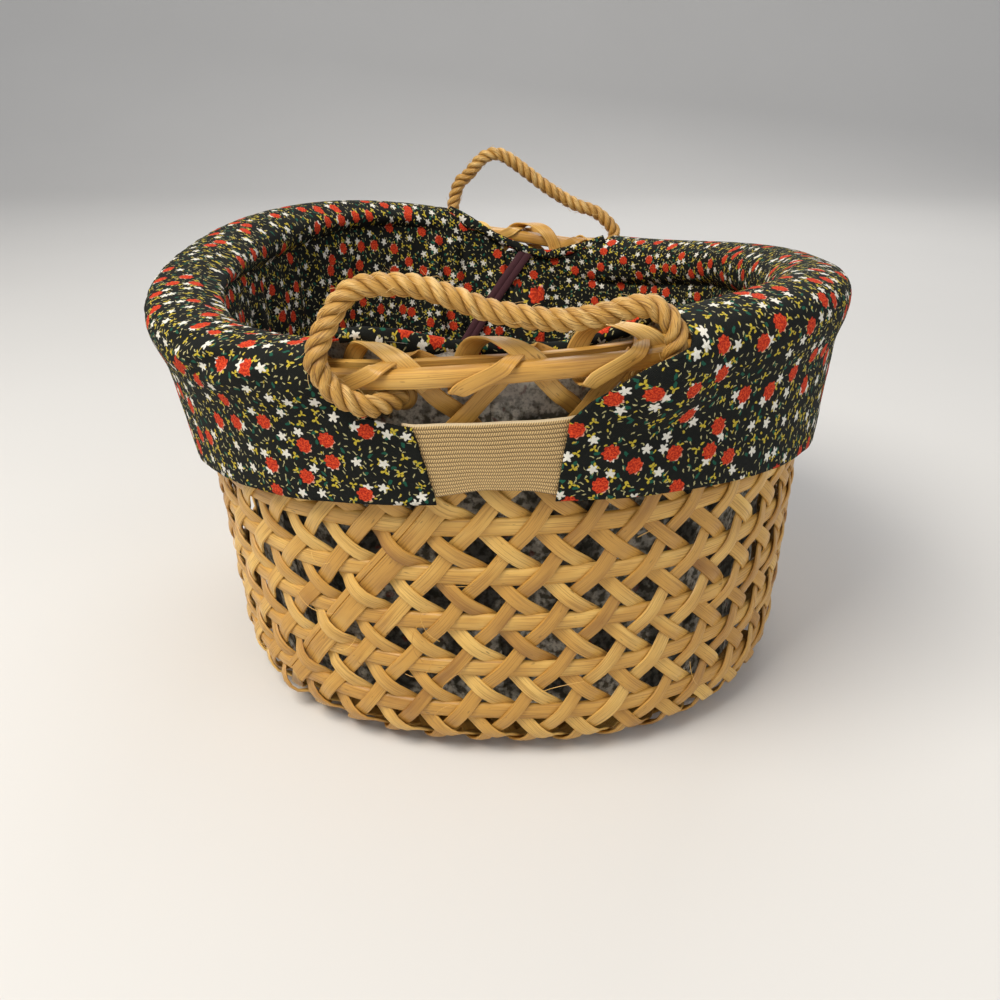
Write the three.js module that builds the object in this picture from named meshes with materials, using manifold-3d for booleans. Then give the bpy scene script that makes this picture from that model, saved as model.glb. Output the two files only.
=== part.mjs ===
// Oval open-weave cane basket with a turned-over cloth liner and two rope handles.
// Millimetres, +Z up, -Y is the end nearest the viewer; the origin is under the middle of the base.
import * as THREE from "three";
import { mergeVertices } from "three/addons/utils/BufferGeometryUtils.js";
import Module from "manifold-3d";

// Basket outline, measured on the middle of the wall
const RIM_HALF_LENGTH = 139.8;
const RIM_HALF_WIDTH = 124.2;
const PLAN_POWER = 2.3; // 2 is an ellipse, more is squarer
const RIM_HEIGHT = 150.5;
const WALL_LEAN = THREE.MathUtils.degToRad(3.6);
const CORNER_RADIUS = 12;
const FLOOR_LEVEL = 4.5; // middle of the wall's layers where it turns under
const RIM_TWIST = 5.9; // how far opposite corners of the rim are sprung up and down
const RIM_RISE = 1.3; // how far the sides stand above the ends
const RIM_SAG = 6.5; // how far the rim has sunk to the right of its far end
const SAG_ANGLE = 1.21;
const SAG_SPREAD = 0.6;
const RIM_SHIFT = -5; // how far the rim has been pushed sideways from over the base

// Cane weave
const STRIPS = 46; // strips leaning each way
const STRIP_WIDTH = 6.4;
const STRIP_THICK = 1.1;
const TOP_HOOP_DROP = 37.1; // from the rim's top to the middle of the highest hoop
const HOOP_PITCH = 18.6;
const HOOP_WIDTH = 6.5;
const HOOP_THICK = 2;
// Gaps round the wall that a strip goes by in one row: below and above the crossing under the highest hoop
const LEANS = { right: { low: 0.85, high: 1 }, left: { low: -1.15, high: -1 } };
const CROSSING_ROW = 0.5; // rows below the highest hoop at which a pair of strips crosses
const LAYER_GAP = 0.4;
const TWIST_EASE = 0.06; // more room for an inner strip where it twists past a hoop
const CHORD_DIP = 1.2; // a straight stretch of an outer strip lies this far inside the curve
const STRIP_FOOT = 0.35; // share of the turn-under at which a strip starts
const BAND_HEIGHT = 5;
const BAND_THICK = 1.3;
const BAND_GRIP = 1.5; // how far a strip's end goes into the band
const PATCH_WIDTH = 11;
const PATCH_THICK = 0.8;
const PATCH_STRIP = -1; // the strip that the doubled one lies on
const PATCH_BOTTOM = 28;
const PATCH_DROP = 50.5; // from the rim's top to the doubled strip's upper end
const PATCH_SPANS = 4;

// Rim
const RIM_HOOP_HEIGHT = 6.2;
const RIM_HOOP_THICK = 3.4;
const LASHING_GAPS = 2; // gaps in the weave that one wrap takes
const LASHING_WIDTH = 3.9;
const LASHING_THICK = 0.9;
const LASHING_EASE = 0.65; // room for the wraps to lie straight where the rim is curved
const LASHING_START = -0.5; // strips from the middle of the near end to the first wrap

// Base
const BASE_THICK = 1.6;
const BASE_RING = 10;
const BASE_STRIP_WIDTH = 9;
const BASE_STRIP_PITCH = 34;
const BASE_TURN = THREE.MathUtils.degToRad(49);

// Cloth liner
const CLOTH_THICK = 1.4;
const LINER_SET_IN = 11.2; // from the middle of the wall to the middle of the cloth
const LINER_RISE = 1.3; // from the rim's top to the liner wall's upper edge
const LINER_FLOOR_TOP = 9.8;
const LINER_FLOOR_THICK = 3;
const SEAM_GAP = 0.35;
const HEM_DROP_AT_ENDS = 44; // from the rim's top to the cuffs' hem
const HEM_DROP_AT_SIDES = 55.5;
const ELASTIC_DROP = 16.9; // from the rim's top to the elastic
const ELASTIC_WIDTH = 25.2;
const ELASTIC_HALF_TOP = 22.5;
const ELASTIC_HALF_BOTTOM = 18.2;
const ELASTIC_THICK = 1.3;
const CUFF_EASE = 0.5; // slack between a cuff and what it lies on
const CUFF_STAND = 1.2; // how much further out it stands at the ends than at its hem
const CUFF_FULLNESS = 1; // and how much more again at the top of the elastic
const ROLL_RISE = 2.6; // how far the roll over the rim stands up
const ROLL_CORNER = 3; // how far its shoulders are rounded off
const ROLL_SHOULDERS = { outside: 0.6, inside: 0.3 }; // heights of the shoulders, as shares of the rise
const EDGE_STEP = 0.8; // height in which a cuff's edge turns out from the elastic to the notch
// From the middle of an end to the cuffs' edges: over the rim, and just above the elastic
const NOTCH_TOPS = { near: { left: 58, right: 62 }, far: { left: 37, right: 62 } };
const NOTCH_SHOULDERS = { near: { left: 46, right: 56 }, far: { left: 34, right: 56 } };

// Rope handles
const ROPE_RADIUS = 4;
const NEAR_PIVOTS = { left: -45, right: 50 };
const FAR_PIVOTS = { left: -26, right: 57 };
const PIVOT_RISE = 7; // from the rim's top to the middle of the rope where it hinges
const PIVOT_OUT = 13.9; // from the middle of the wall to the middle of the rope
const ROPE_SIDES = 9;
const ARCH_STEPS = 20;
const END_STEPS = 9;
const NEAR_LEAN = THREE.MathUtils.degToRad(15); // how far the near handle has dropped inwards
const FAR_LEAN = THREE.MathUtils.degToRad(5);
const KNOT_RADIUS = 5;
const KNOT_HALF_DEPTH = 2.8;
const KNOT_SEAT = 0.9; // share of that depth from the rope's end to the knot's middle
const KNOT_SIDES = 10;
const KNOT_RINGS = 7;
const PASS_DROP = 11.7; // from the rim's top to where the rope goes in under it
const PASS_GAPS = { left: -1.5, right: 2.5 }; // strips from the middle of an end to the gap it goes in by
// Each arch: share of the half span, and height above the line through its ends
const NEAR_ARCH = [
  [-0.99, 5],
  [-0.96, 10],
  [-0.84, 17.8],
  [-0.65, 19.2],
  [-0.43, 17.9],
  [-0.21, 13.6],
  [0, 9.2],
  [0.33, 5.6],
  [0.55, 5.8],
  [0.77, 7.6],
  [0.9, 6.4],
  [0.98, 4],
];
const FAR_ARCH = [
  [-0.98, 9.1], [-0.92, 13.3], [-0.8, 19.1], [-0.62, 28.9], [-0.44, 32.2], [-0.25, 29.2],
  [0.12, 19.3], [0.36, 13.9], [0.55, 10.6], [0.79, 8.2], [0.93, 4.8],
];

// Trim inside the liner
const BINDING_WIDTH = 7;
const BINDING_FROM = { x: 14, drop: 8.5 }; // drops are from the rim's top
const BINDING_TO = { x: -31, drop: 70.5 };
const TAB_X = 13.5;
const TAB_FOOT_WIDTH = 8.4;
const TAB_TOP_WIDTH = 11.6;
const TAB_DROP = 7.6; // below and above the liner's top edge
const TAB_RISE = 17;
const TAB_LEAN = 3;
const TAB_THICK = 2;

const CANE = new THREE.MeshStandardMaterial({ color: 0xd2a45a, roughness: 0.45, metalness: 0 });
const ROPE = new THREE.MeshStandardMaterial({ color: 0xd09a3e, roughness: 0.85, metalness: 0 });
const PRINT = new THREE.MeshStandardMaterial({ color: 0x23261f, roughness: 0.9, metalness: 0 });
const ELASTIC = new THREE.MeshStandardMaterial({ color: 0xd6bd8c, roughness: 0.85, metalness: 0 });
const BINDING = new THREE.MeshStandardMaterial({ color: 0x5a3136, roughness: 0.8, metalness: 0 });

const solids = await Module();
solids.setup();
const { Manifold, Mesh } = solids;

const basket = new THREE.Group();

function addMesh(name, geometry, material) {
  geometry.computeVertexNormals();
  const mesh = new THREE.Mesh(geometry, material);
  mesh.name = name;
  basket.add(mesh);
}

// The plan outline, walked by its length from the middle of the near end, to the right
const PLAN_SAMPLES = 1440;
const NEAR_ANGLE = -Math.PI / 2;

function planAt(angle, halfLength, halfWidth) {
  const c = Math.cos(angle);
  const s = Math.sin(angle);
  const power = 2 / PLAN_POWER;
  return [
    halfWidth * Math.sign(c) * Math.abs(c) ** power,
    halfLength * Math.sign(s) * Math.abs(s) ** power,
  ];
}

const planAngles = [];
const planLengths = [0];
for (let i = 0; i <= PLAN_SAMPLES; i += 1) {
  planAngles.push(NEAR_ANGLE + (i / PLAN_SAMPLES) * Math.PI * 2);
  if (i > 0) {
    const [x0, y0] = planAt(planAngles[i - 1], RIM_HALF_LENGTH, RIM_HALF_WIDTH);
    const [x1, y1] = planAt(planAngles[i], RIM_HALF_LENGTH, RIM_HALF_WIDTH);
    planLengths.push(planLengths[i - 1] + Math.hypot(x1 - x0, y1 - y0));
  }
}
const RIM_LENGTH = planLengths[PLAN_SAMPLES];

function planAngle(share) {
  const wanted = (share - Math.floor(share)) * RIM_LENGTH;
  let low = 0;
  let high = PLAN_SAMPLES;
  while (high - low > 1) {
    const mid = (low + high) >> 1;
    if (planLengths[mid] <= wanted) low = mid;
    else high = mid;
  }
  const part = (wanted - planLengths[low]) / (planLengths[high] - planLengths[low]);
  return THREE.MathUtils.lerp(planAngles[low], planAngles[high], part);
}

function planNormal(x, y, halfLength, halfWidth) {
  const power = PLAN_POWER - 1;
  const nx = (Math.sign(x) * Math.abs(x / halfWidth) ** power) / halfWidth;
  const ny = (Math.sign(y) * Math.abs(y / halfLength) ** power) / halfLength;
  const length = Math.hypot(nx, ny);
  return [nx / length, ny / length];
}

function warp(angle, z) {
  const bend = RIM_RISE * Math.cos(angle) ** 2 - RIM_TWIST * Math.sin(2 * angle);
  const sunk = RIM_SAG * Math.exp(-(((angle - SAG_ANGLE) / SAG_SPREAD) ** 2));
  return (bend - sunk) * (z / RIM_HEIGHT) ** 2;
}

// The wall's profile: a turn-under of CORNER_RADIUS, then a straight leaning wall
function wallInset(z) {
  return (RIM_HEIGHT - z) * Math.tan(WALL_LEAN);
}

const TURN = Math.PI / 2 - WALL_LEAN;
const WALL_FOOT = FLOOR_LEVEL + CORNER_RADIUS * (1 - Math.cos(TURN));
const FLOOR_INSET = wallInset(WALL_FOOT) + CORNER_RADIUS * Math.sin(TURN);

// share: way round; z: height on the wall, or null in the turn-under at the angle turn
function wallPoint(share, z, offset, turn = TURN) {
  const inTurn = z === null;
  const inset = inTurn ? FLOOR_INSET - CORNER_RADIUS * Math.sin(turn) : wallInset(z);
  const level = inTurn ? FLOOR_LEVEL + CORNER_RADIUS * (1 - Math.cos(turn)) : z;
  const angle = planAngle(share);
  const halfLength = RIM_HALF_LENGTH - inset;
  const halfWidth = RIM_HALF_WIDTH - inset;
  const [x, y] = planAt(angle, halfLength, halfWidth);
  const [nx, ny] = planNormal(x, y, halfLength, halfWidth);
  const out = Math.sin(turn) * offset;
  return new THREE.Vector3(
    x + nx * out + RIM_SHIFT * (level / RIM_HEIGHT) ** 2,
    y + ny * out,
    level - Math.cos(turn) * offset + warp(angle, level),
  );
}

function shareAtX(x, near) {
  const share = x / RIM_LENGTH;
  return near ? share : 0.5 - share;
}

function toGeometry(points, triangles) {
  const geometry = new THREE.BufferGeometry();
  geometry.setAttribute("position", new THREE.Float32BufferAttribute(points, 3));
  geometry.setIndex(triangles);
  return geometry;
}

// Carries a section of [side, out] points along frames of {at, side, out, size}
function sweep(frames, section, closed) {
  const points = [];
  const triangles = [];
  const count = section.length;
  for (const frame of frames) {
    const size = frame.size ?? 1;
    for (const [a, b] of section) {
      const p = frame.at.clone();
      p.addScaledVector(frame.side, a * size).addScaledVector(frame.out, b * size);
      points.push(p.x, p.y, p.z);
    }
  }
  const spans = closed ? frames.length : frames.length - 1;
  for (let i = 0; i < spans; i += 1) {
    const here = i * count;
    const next = ((i + 1) % frames.length) * count;
    for (let k = 0; k < count; k += 1) {
      const after = (k + 1) % count;
      triangles.push(here + k, here + after, next + after);
      triangles.push(here + k, next + after, next + k);
    }
  }
  if (!closed) {
    const last = (frames.length - 1) * count;
    for (let k = 1; k < count - 1; k += 1) {
      triangles.push(0, k + 1, k);
      triangles.push(last, last + k, last + k + 1);
    }
  }
  return toGeometry(points, triangles);
}

// Frames for a strip whose middle and outward directions are given
function stripFrames(middles, outs, closed) {
  return middles.map((at, i) => {
    const count = middles.length;
    const before = closed ? (i + count - 1) % count : Math.max(i - 1, 0);
    const after = closed ? (i + 1) % count : Math.min(i + 1, count - 1);
    const along = middles[after].clone().sub(middles[before]).normalize();
    const side = outs[i].clone().cross(along).normalize();
    const out = along.clone().cross(side).normalize();
    return { at, side, out };
  });
}

function flatSection(width, thick) {
  const w = width / 2;
  const t = thick / 2;
  return [
    [-w, -t],
    [w, -t],
    [w, t],
    [-w, t],
  ];
}

// Split cane: flat on one face, and narrower on the other
const ROUNDED = 0.6;

function halfRoundSection(width, thick) {
  const w = width / 2;
  const t = thick / 2;
  return [
    [-w, -t],
    [w, -t],
    [w * ROUNDED, t],
    [-w * ROUNDED, t],
  ];
}

function ring(level, offset, section, steps) {
  const middles = [];
  const outs = [];
  for (let i = 0; i < steps; i += 1) {
    const share = i / steps;
    middles.push(wallPoint(share, level, offset));
    outs.push(wallPoint(share, level, offset + 1).sub(middles[i]));
  }
  return sweep(stripFrames(middles, outs, true), section, true);
}

// A cloth-like solid from pointAt(u, v, offset), with u round the basket and v up its outside
function sheet(pointAt, across, up, thick) {
  const points = [];
  const triangles = [];
  const row = across + 1;
  const layer = row * (up + 1);
  for (const offset of [thick / 2, -thick / 2]) {
    for (let j = 0; j <= up; j += 1) {
      for (let i = 0; i <= across; i += 1) {
        const p = pointAt(i / across, j / up, offset);
        points.push(p.x, p.y, p.z);
      }
    }
  }
  const quad = (a, b, c, d) => triangles.push(a, b, c, a, c, d);
  for (let j = 0; j < up; j += 1) {
    for (let i = 0; i < across; i += 1) {
      const a = j * row + i;
      quad(a, a + 1, a + row + 1, a + row);
      quad(layer + a, layer + a + row, layer + a + row + 1, layer + a + 1);
    }
  }
  const top = up * row;
  for (let i = 0; i < across; i += 1) {
    quad(layer + i, layer + i + 1, i + 1, i);
    quad(top + i, top + i + 1, layer + top + i + 1, layer + top + i);
  }
  for (let j = 0; j < up; j += 1) {
    const start = j * row;
    const end = start + across;
    quad(start, start + row, layer + start + row, layer + start);
    quad(end, layer + end, layer + end + row, end + row);
  }
  return toGeometry(points, triangles);
}

function toManifold(geometry) {
  return new Manifold(
    new Mesh({
      numProp: 3,
      vertProperties: new Float32Array(geometry.getAttribute("position").array),
      triVerts: new Uint32Array(geometry.index.array),
    }),
  );
}

// A three.js shape as a solid, with its shared corners joined
function solidOf(shape) {
  shape.deleteAttribute("normal");
  shape.deleteAttribute("uv");
  return toManifold(mergeVertices(shape));
}

function fromManifold(solid) {
  const { vertProperties, triVerts } = solid.getMesh();
  return toGeometry(Array.from(vertProperties), Array.from(triVerts));
}

// Heights that follow the rim
const LINER_TOP = RIM_HEIGHT + LINER_RISE;
const HEM_AT_ENDS = RIM_HEIGHT - HEM_DROP_AT_ENDS;
const HEM_AT_SIDES = RIM_HEIGHT - HEM_DROP_AT_SIDES;
const ELASTIC_TOP = RIM_HEIGHT - ELASTIC_DROP;
const ELASTIC_BOTTOM = ELASTIC_TOP - ELASTIC_WIDTH;
const PIVOT_LEVEL = RIM_HEIGHT + PIVOT_RISE;
const PASS_LEVEL = RIM_HEIGHT - PASS_DROP;
const TOP_HOOP = RIM_HEIGHT - TOP_HOOP_DROP;
const PATCH_TOP = RIM_HEIGHT - PATCH_DROP;

// Weave: hoops in the middle, strips leaning right outside them and leaning left inside them
const STRIP_OFFSET = HOOP_THICK / 2 + LAYER_GAP + STRIP_THICK / 2;
const OUTER_OFFSET = STRIP_OFFSET + CHORD_DIP;
const HOOP_STEPS = STRIPS;
const BAND_LEVEL = RIM_HEIGHT - RIM_HOOP_HEIGHT / 2;

// As many hoops as the straight wall has room for, from the lowest up
const HOOP_LEVELS = [];
for (let level = TOP_HOOP; level >= WALL_FOOT + HOOP_WIDTH / 2; level -= HOOP_PITCH) {
  HOOP_LEVELS.unshift(level);
}

HOOP_LEVELS.forEach((level, i) => {
  const section = halfRoundSection(HOOP_WIDTH, HOOP_THICK);
  addMesh(`hoop_${i + 1}`, ring(level, 0, section, HOOP_STEPS), CANE);
});

function stripShare(index, lean, level) {
  const rows = (level - TOP_HOOP) / HOOP_PITCH + CROSSING_ROW;
  return (index + rows * (rows > 0 ? lean.high : lean.low)) / STRIPS;
}

function stripStops(index, lean) {
  const foot = TURN * STRIP_FOOT;
  const footDrop = (FLOOR_LEVEL - WALL_FOOT) * (1 - STRIP_FOOT);
  const stops = [{ z: null, turn: foot, share: stripShare(index, lean, WALL_FOOT + footDrop) }];
  const levels = HOOP_LEVELS.filter((_, i) => i % 2 === 0);
  levels.push(TOP_HOOP + HOOP_PITCH, BAND_LEVEL - BAND_HEIGHT / 2 + BAND_GRIP);
  for (const z of levels) {
    stops.push({ z, turn: TURN, share: stripShare(index, lean, z) });
  }
  return stops;
}

function strip(stops, offset, width, thick) {
  const middles = stops.map((s) => wallPoint(s.share, s.z, offset, s.turn));
  const outs = stops.map((s, i) => wallPoint(s.share, s.z, offset + 1, s.turn).sub(middles[i]));
  return sweep(stripFrames(middles, outs, false), flatSection(width, thick), false);
}

// Each way's strips are held together by the band that the rim clamps
function stripCage(lean, offset, cutters) {
  const band = flatSection(BAND_HEIGHT, BAND_THICK);
  const pieces = [toManifold(ring(BAND_LEVEL, offset, band, STRIPS))];
  for (let i = 0; i < STRIPS; i += 1) {
    pieces.push(toManifold(strip(stripStops(i, lean), offset, STRIP_WIDTH, STRIP_THICK)));
  }
  return Manifold.union(pieces).subtract(Manifold.union(cutters));
}

// Rope handles: two fixed ends that go in under the rim, and the arch that swings between them
function ropeFrames(curve, steps) {
  const { tangents, normals, binormals } = curve.computeFrenetFrames(steps, false);
  return tangents.map((along, i) => ({
    at: curve.getPointAt(i / steps),
    side: normals[i],
    out: binormals[i],
    along,
  }));
}

function ropeSection(radius) {
  const section = [];
  for (let k = 0; k < ROPE_SIDES; k += 1) {
    const angle = (k / ROPE_SIDES) * Math.PI * 2;
    section.push([radius * Math.cos(angle), radius * Math.sin(angle)]);
  }
  return section;
}

function pivotX(side, near) {
  return (near ? NEAR_PIVOTS : FAR_PIVOTS)[side];
}

function pivotPoint(side, near) {
  return wallPoint(shareAtX(pivotX(side, near), near), PIVOT_LEVEL, PIVOT_OUT);
}

// A rope's end, from its pivot down outside the rim and in under it
const PASS_DEPTH = -STRIP_OFFSET - BAND_THICK - LAYER_GAP;
const END_ROUTE = [
  { along: 0, up: 1, out: 1 },
  { along: 0.09, up: 0.6, out: 1 },
  { along: 0.31, up: 0.3, out: 1 },
  { along: 0.63, up: 0.05, out: 0.88 },
  { along: 0.89, up: 0, out: 0.5 },
  { along: 1, up: 0, out: 0 },
];

function endCurve(side, near) {
  const pass = (PASS_GAPS[side] * RIM_LENGTH) / STRIPS;
  return new THREE.CatmullRomCurve3(
    END_ROUTE.map(({ along, up, out }) => {
      const x = THREE.MathUtils.lerp(pivotX(side, near), pass, along);
      const z = THREE.MathUtils.lerp(PASS_LEVEL, PIVOT_LEVEL, up);
      const offset = THREE.MathUtils.lerp(PASS_DEPTH, PIVOT_OUT, out);
      return wallPoint(shareAtX(x, near), z, offset);
    }),
  );
}

const DOME = [
  { back: 0.95, size: 0.31 },
  { back: 0.64, size: 0.77 },
];

function ropeEnd(side, near) {
  const frames = ropeFrames(endCurve(side, near), END_STEPS);
  const first = frames[0];
  const dome = DOME.map(({ back, size }) => ({
    ...first,
    at: first.at.clone().addScaledVector(first.along, -back * ROPE_RADIUS),
    size,
  }));
  const rope = sweep([...dome, ...frames], ropeSection(ROPE_RADIUS), false);
  const last = frames.at(-1);
  const knot = new THREE.SphereGeometry(1, KNOT_SIDES, KNOT_RINGS);
  const turn = new THREE.Quaternion().setFromUnitVectors(new THREE.Vector3(0, 0, 1), last.along);
  const scale = new THREE.Vector3(KNOT_RADIUS, KNOT_RADIUS, KNOT_HALF_DEPTH);
  const middle = last.at.clone().addScaledVector(last.along, KNOT_HALF_DEPTH * KNOT_SEAT);
  knot.applyMatrix4(new THREE.Matrix4().compose(middle, turn, scale));
  return toManifold(rope).add(solidOf(knot));
}

function ropeHole(side, near) {
  const frames = ropeFrames(endCurve(side, near), END_STEPS);
  return toManifold(sweep(frames, ropeSection(ROPE_RADIUS + LAYER_GAP), false));
}

function archGeometry(points, lean, near) {
  const left = pivotPoint("left", near);
  const right = pivotPoint("right", near);
  const middle = left.clone().add(right).multiplyScalar(0.5);
  const half = right.clone().sub(left).multiplyScalar(0.5);
  const inwards = near ? 1 : -1;
  const rise = new THREE.Vector3(0, inwards * Math.sin(lean), Math.cos(lean));
  const at = (share, height) =>
    middle.clone().addScaledVector(half, share).addScaledVector(rise, height);
  const path = points.map(([share, height]) => at(share, height));
  const clear = ROPE_RADIUS + LAYER_GAP;
  const fromEnd = (pivot, towards) =>
    pivot.clone().addScaledVector(towards.clone().sub(pivot).normalize(), clear);
  path[0] = fromEnd(left, path[0]);
  path.push(fromEnd(right, path.at(-1)));
  const curve = new THREE.CatmullRomCurve3(path);
  return sweep(ropeFrames(curve, ARCH_STEPS), ropeSection(ROPE_RADIUS), false);
}

const holes = [];
for (const near of [true, false]) {
  const end = near ? "near" : "far";
  for (const side of ["left", "right"]) {
    addMesh(`handle_${end}_end_${side}`, fromManifold(ropeEnd(side, near)), ROPE);
    holes.push(ropeHole(side, near));
  }
}
addMesh("handle_near", archGeometry(NEAR_ARCH, NEAR_LEAN, true), ROPE);
addMesh("handle_far", archGeometry(FAR_ARCH, FAR_LEAN, false), ROPE);

addMesh("strips_right", fromManifold(stripCage(LEANS.right, OUTER_OFFSET, holes)), CANE);
addMesh("strips_left", fromManifold(stripCage(LEANS.left, -STRIP_OFFSET - TWIST_EASE, holes)), CANE);

const patchOffset = OUTER_OFFSET + STRIP_THICK / 2 + LAYER_GAP + PATCH_THICK / 2;
const patchStops = [];
for (let i = 0; i <= PATCH_SPANS; i += 1) {
  const z = THREE.MathUtils.lerp(PATCH_BOTTOM, PATCH_TOP, i / PATCH_SPANS);
  patchStops.push({ z, turn: TURN, share: stripShare(PATCH_STRIP, LEANS.right, z) });
}
addMesh("strip_doubled", strip(patchStops, patchOffset, PATCH_WIDTH, PATCH_THICK), CANE);

// Rim: two hoops clamp the strips' ends, and a lashing winds round them
const RIM_STEPS = 60;
const RIM_INSIDE = OUTER_OFFSET + BAND_THICK / 2 + LAYER_GAP;
const RIM_OUTSIDE = RIM_INSIDE + RIM_HOOP_THICK;
const rimSection = halfRoundSection(RIM_HOOP_HEIGHT, RIM_HOOP_THICK);
const innerRimSection = rimSection.map(([a, b]) => [-a, -b]);
const RIM_MIDDLE = RIM_INSIDE + RIM_HOOP_THICK / 2;
addMesh("rim_outer", ring(BAND_LEVEL, RIM_MIDDLE, rimSection, RIM_STEPS), CANE);
addMesh("rim_inner", ring(BAND_LEVEL, -RIM_MIDDLE, innerRimSection, RIM_STEPS), CANE);

const LASH_CLEAR = LAYER_GAP + LASHING_THICK / 2 + LASHING_EASE;
const LASH_OUT = RIM_OUTSIDE + LASH_CLEAR;
const LASH_IN = -LASH_OUT - LASHING_EASE;
const LASH_TOP = RIM_HEIGHT + LASH_CLEAR;
const LASH_BOTTOM = RIM_HEIGHT - RIM_HOOP_HEIGHT - LASH_CLEAR;
const LASH_CORNER = 2; // how far a wrap's corners are rounded off
// One wrap: share of its pitch, offset from the wall, height, and which way is out
const LASHING_WRAP = [
  { step: 0, offset: LASH_OUT - LASH_CORNER / 2, z: LASH_BOTTOM, out: [0.6, -0.8] },
  { step: 0.08, offset: LASH_OUT, z: LASH_BOTTOM + LASH_CORNER, out: [1, 0] },
  { step: 0.36, offset: LASH_OUT, z: LASH_TOP - LASH_CORNER, out: [1, 0] },
  { step: 0.44, offset: LASH_OUT - LASH_CORNER, z: LASH_TOP, out: [0.3, 0.95] },
  { step: 0.56, offset: LASH_IN + LASH_CORNER, z: LASH_TOP, out: [-0.3, 0.95] },
  { step: 0.64, offset: LASH_IN, z: LASH_TOP - LASH_CORNER, out: [-1, 0] },
  { step: 0.92, offset: LASH_IN, z: LASH_BOTTOM + LASH_CORNER, out: [-1, 0] },
  { step: 1, offset: LASH_IN + LASH_CORNER / 2, z: LASH_BOTTOM, out: [-0.6, -0.8] },
];
const lashMiddles = [];
const lashOuts = [];
const lashStarts = [];
for (let gap = 0; gap + LASHING_GAPS <= STRIPS; gap += LASHING_GAPS) {
  lashStarts.push(LASHING_START + gap);
}
lashStarts.push(LASHING_START + STRIPS);
for (let wrap = 0; wrap + 1 < lashStarts.length; wrap += 1) {
  for (const { step, offset, z, out } of LASHING_WRAP) {
    const share = THREE.MathUtils.lerp(lashStarts[wrap], lashStarts[wrap + 1], step) / STRIPS;
    const at = wallPoint(share, z, offset);
    lashMiddles.push(at);
    lashOuts.push(wallPoint(share, z, offset + out[0]).sub(at).add(new THREE.Vector3(0, 0, out[1])));
  }
}
const lashFrames = stripFrames(lashMiddles, lashOuts, true);
addMesh("rim_lashing", sweep(lashFrames, flatSection(LASHING_WIDTH, LASHING_THICK), true), CANE);

// Base: crossing strips inside an oval border, flat underneath
const OVAL_STEPS = 48;

function ovalSlab(inset, thick) {
  const outline = new THREE.Shape();
  for (let i = 0; i < OVAL_STEPS; i += 1) {
    const angle = planAngle(i / OVAL_STEPS);
    const [x, y] = planAt(angle, RIM_HALF_LENGTH - inset, RIM_HALF_WIDTH - inset);
    if (i === 0) outline.moveTo(x, y);
    else outline.lineTo(x, y);
  }
  outline.closePath();
  return new THREE.ExtrudeGeometry(outline, { depth: thick, bevelEnabled: false });
}

function baseSolid() {
  const inset = FLOOR_INSET - CORNER_RADIUS * Math.sin(TURN * STRIP_FOOT);
  const outline = solidOf(ovalSlab(inset, BASE_THICK));
  const hollow = solidOf(ovalSlab(inset + BASE_RING, BASE_THICK));
  const reach = RIM_HALF_LENGTH + RIM_HALF_WIDTH;
  const rows = Math.ceil(RIM_HALF_LENGTH / BASE_STRIP_PITCH);
  const bars = [];
  for (const turn of [-BASE_TURN, BASE_TURN]) {
    for (let i = -rows; i <= rows; i += 1) {
      const bar = new THREE.BoxGeometry(2 * reach, BASE_STRIP_WIDTH, BASE_THICK);
      bar.translate(0, i * BASE_STRIP_PITCH, BASE_THICK / 2).rotateZ(turn);
      bars.push(solidOf(bar));
    }
  }
  const lattice = Manifold.union(bars).intersect(outline);
  return lattice.add(outline.subtract(hollow));
}
addMesh("base_weave", fromManifold(baseSolid()), CANE);

// Liner: a floor, two wall panels, two cuffs over the rim, and an elastic across each notch
const floorInset = wallInset(LINER_FLOOR_TOP) + LINER_SET_IN - CLOTH_THICK;
const linerFloor = ovalSlab(floorInset, LINER_FLOOR_THICK);
linerFloor.translate(0, 0, LINER_FLOOR_TOP - LINER_FLOOR_THICK);
addMesh("liner_floor", fromManifold(solidOf(linerFloor)), PRINT);

const PANEL_STEPS = { across: 24, up: 3 };
const ELASTIC_STEPS = { across: 6, up: 2 };
const TAB_STEPS = { across: 3, up: 4 };
const seamShare = SEAM_GAP / 2 / RIM_LENGTH;
for (const right of [true, false]) {
  const from = right ? seamShare : 0.5 + seamShare;
  const to = right ? 0.5 - seamShare : 1 - seamShare;
  const panel = (u, v, offset) => {
    const foot = LINER_FLOOR_TOP + SEAM_GAP;
    const z = THREE.MathUtils.lerp(foot - LINER_SET_IN * Math.cos(TURN), LINER_TOP, v);
    const share = THREE.MathUtils.lerp(from, to, u);
    const at = wallPoint(share, z, offset - LINER_SET_IN);
    at.z = Math.max(at.z, foot);
    return at;
  };
  const name = right ? "liner_wall_right" : "liner_wall_left";
  addMesh(name, sheet(panel, PANEL_STEPS.across, PANEL_STEPS.up, CLOTH_THICK), PRINT);
}

function hemLevel(share) {
  const side = Math.sin(share * Math.PI * 2) ** 2;
  return THREE.MathUtils.lerp(HEM_AT_ENDS, HEM_AT_SIDES, side);
}

// From the middle of an end to a cuff's edge at a height: the elastic's edge, then the open notch
function notchHalf(z, end, side) {
  const top = NOTCH_TOPS[end][side];
  const shoulder = NOTCH_SHOULDERS[end][side];
  const stops = [
    [HEM_AT_ENDS, ELASTIC_HALF_BOTTOM],
    [ELASTIC_TOP, ELASTIC_HALF_TOP],
    [ELASTIC_TOP + EDGE_STEP, shoulder],
    [RIM_HEIGHT - RIM_HOOP_HEIGHT, (shoulder + top) / 2],
    [RIM_HEIGHT, top],
  ];
  if (z <= stops[0][0]) return stops[0][1];
  for (let i = 1; i < stops.length; i += 1) {
    const [z0, half0] = stops[i - 1];
    const [z1, half1] = stops[i];
    if (z <= z1) return THREE.MathUtils.mapLinear(z, z0, z1, half0, half1);
  }
  return top;
}

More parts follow.
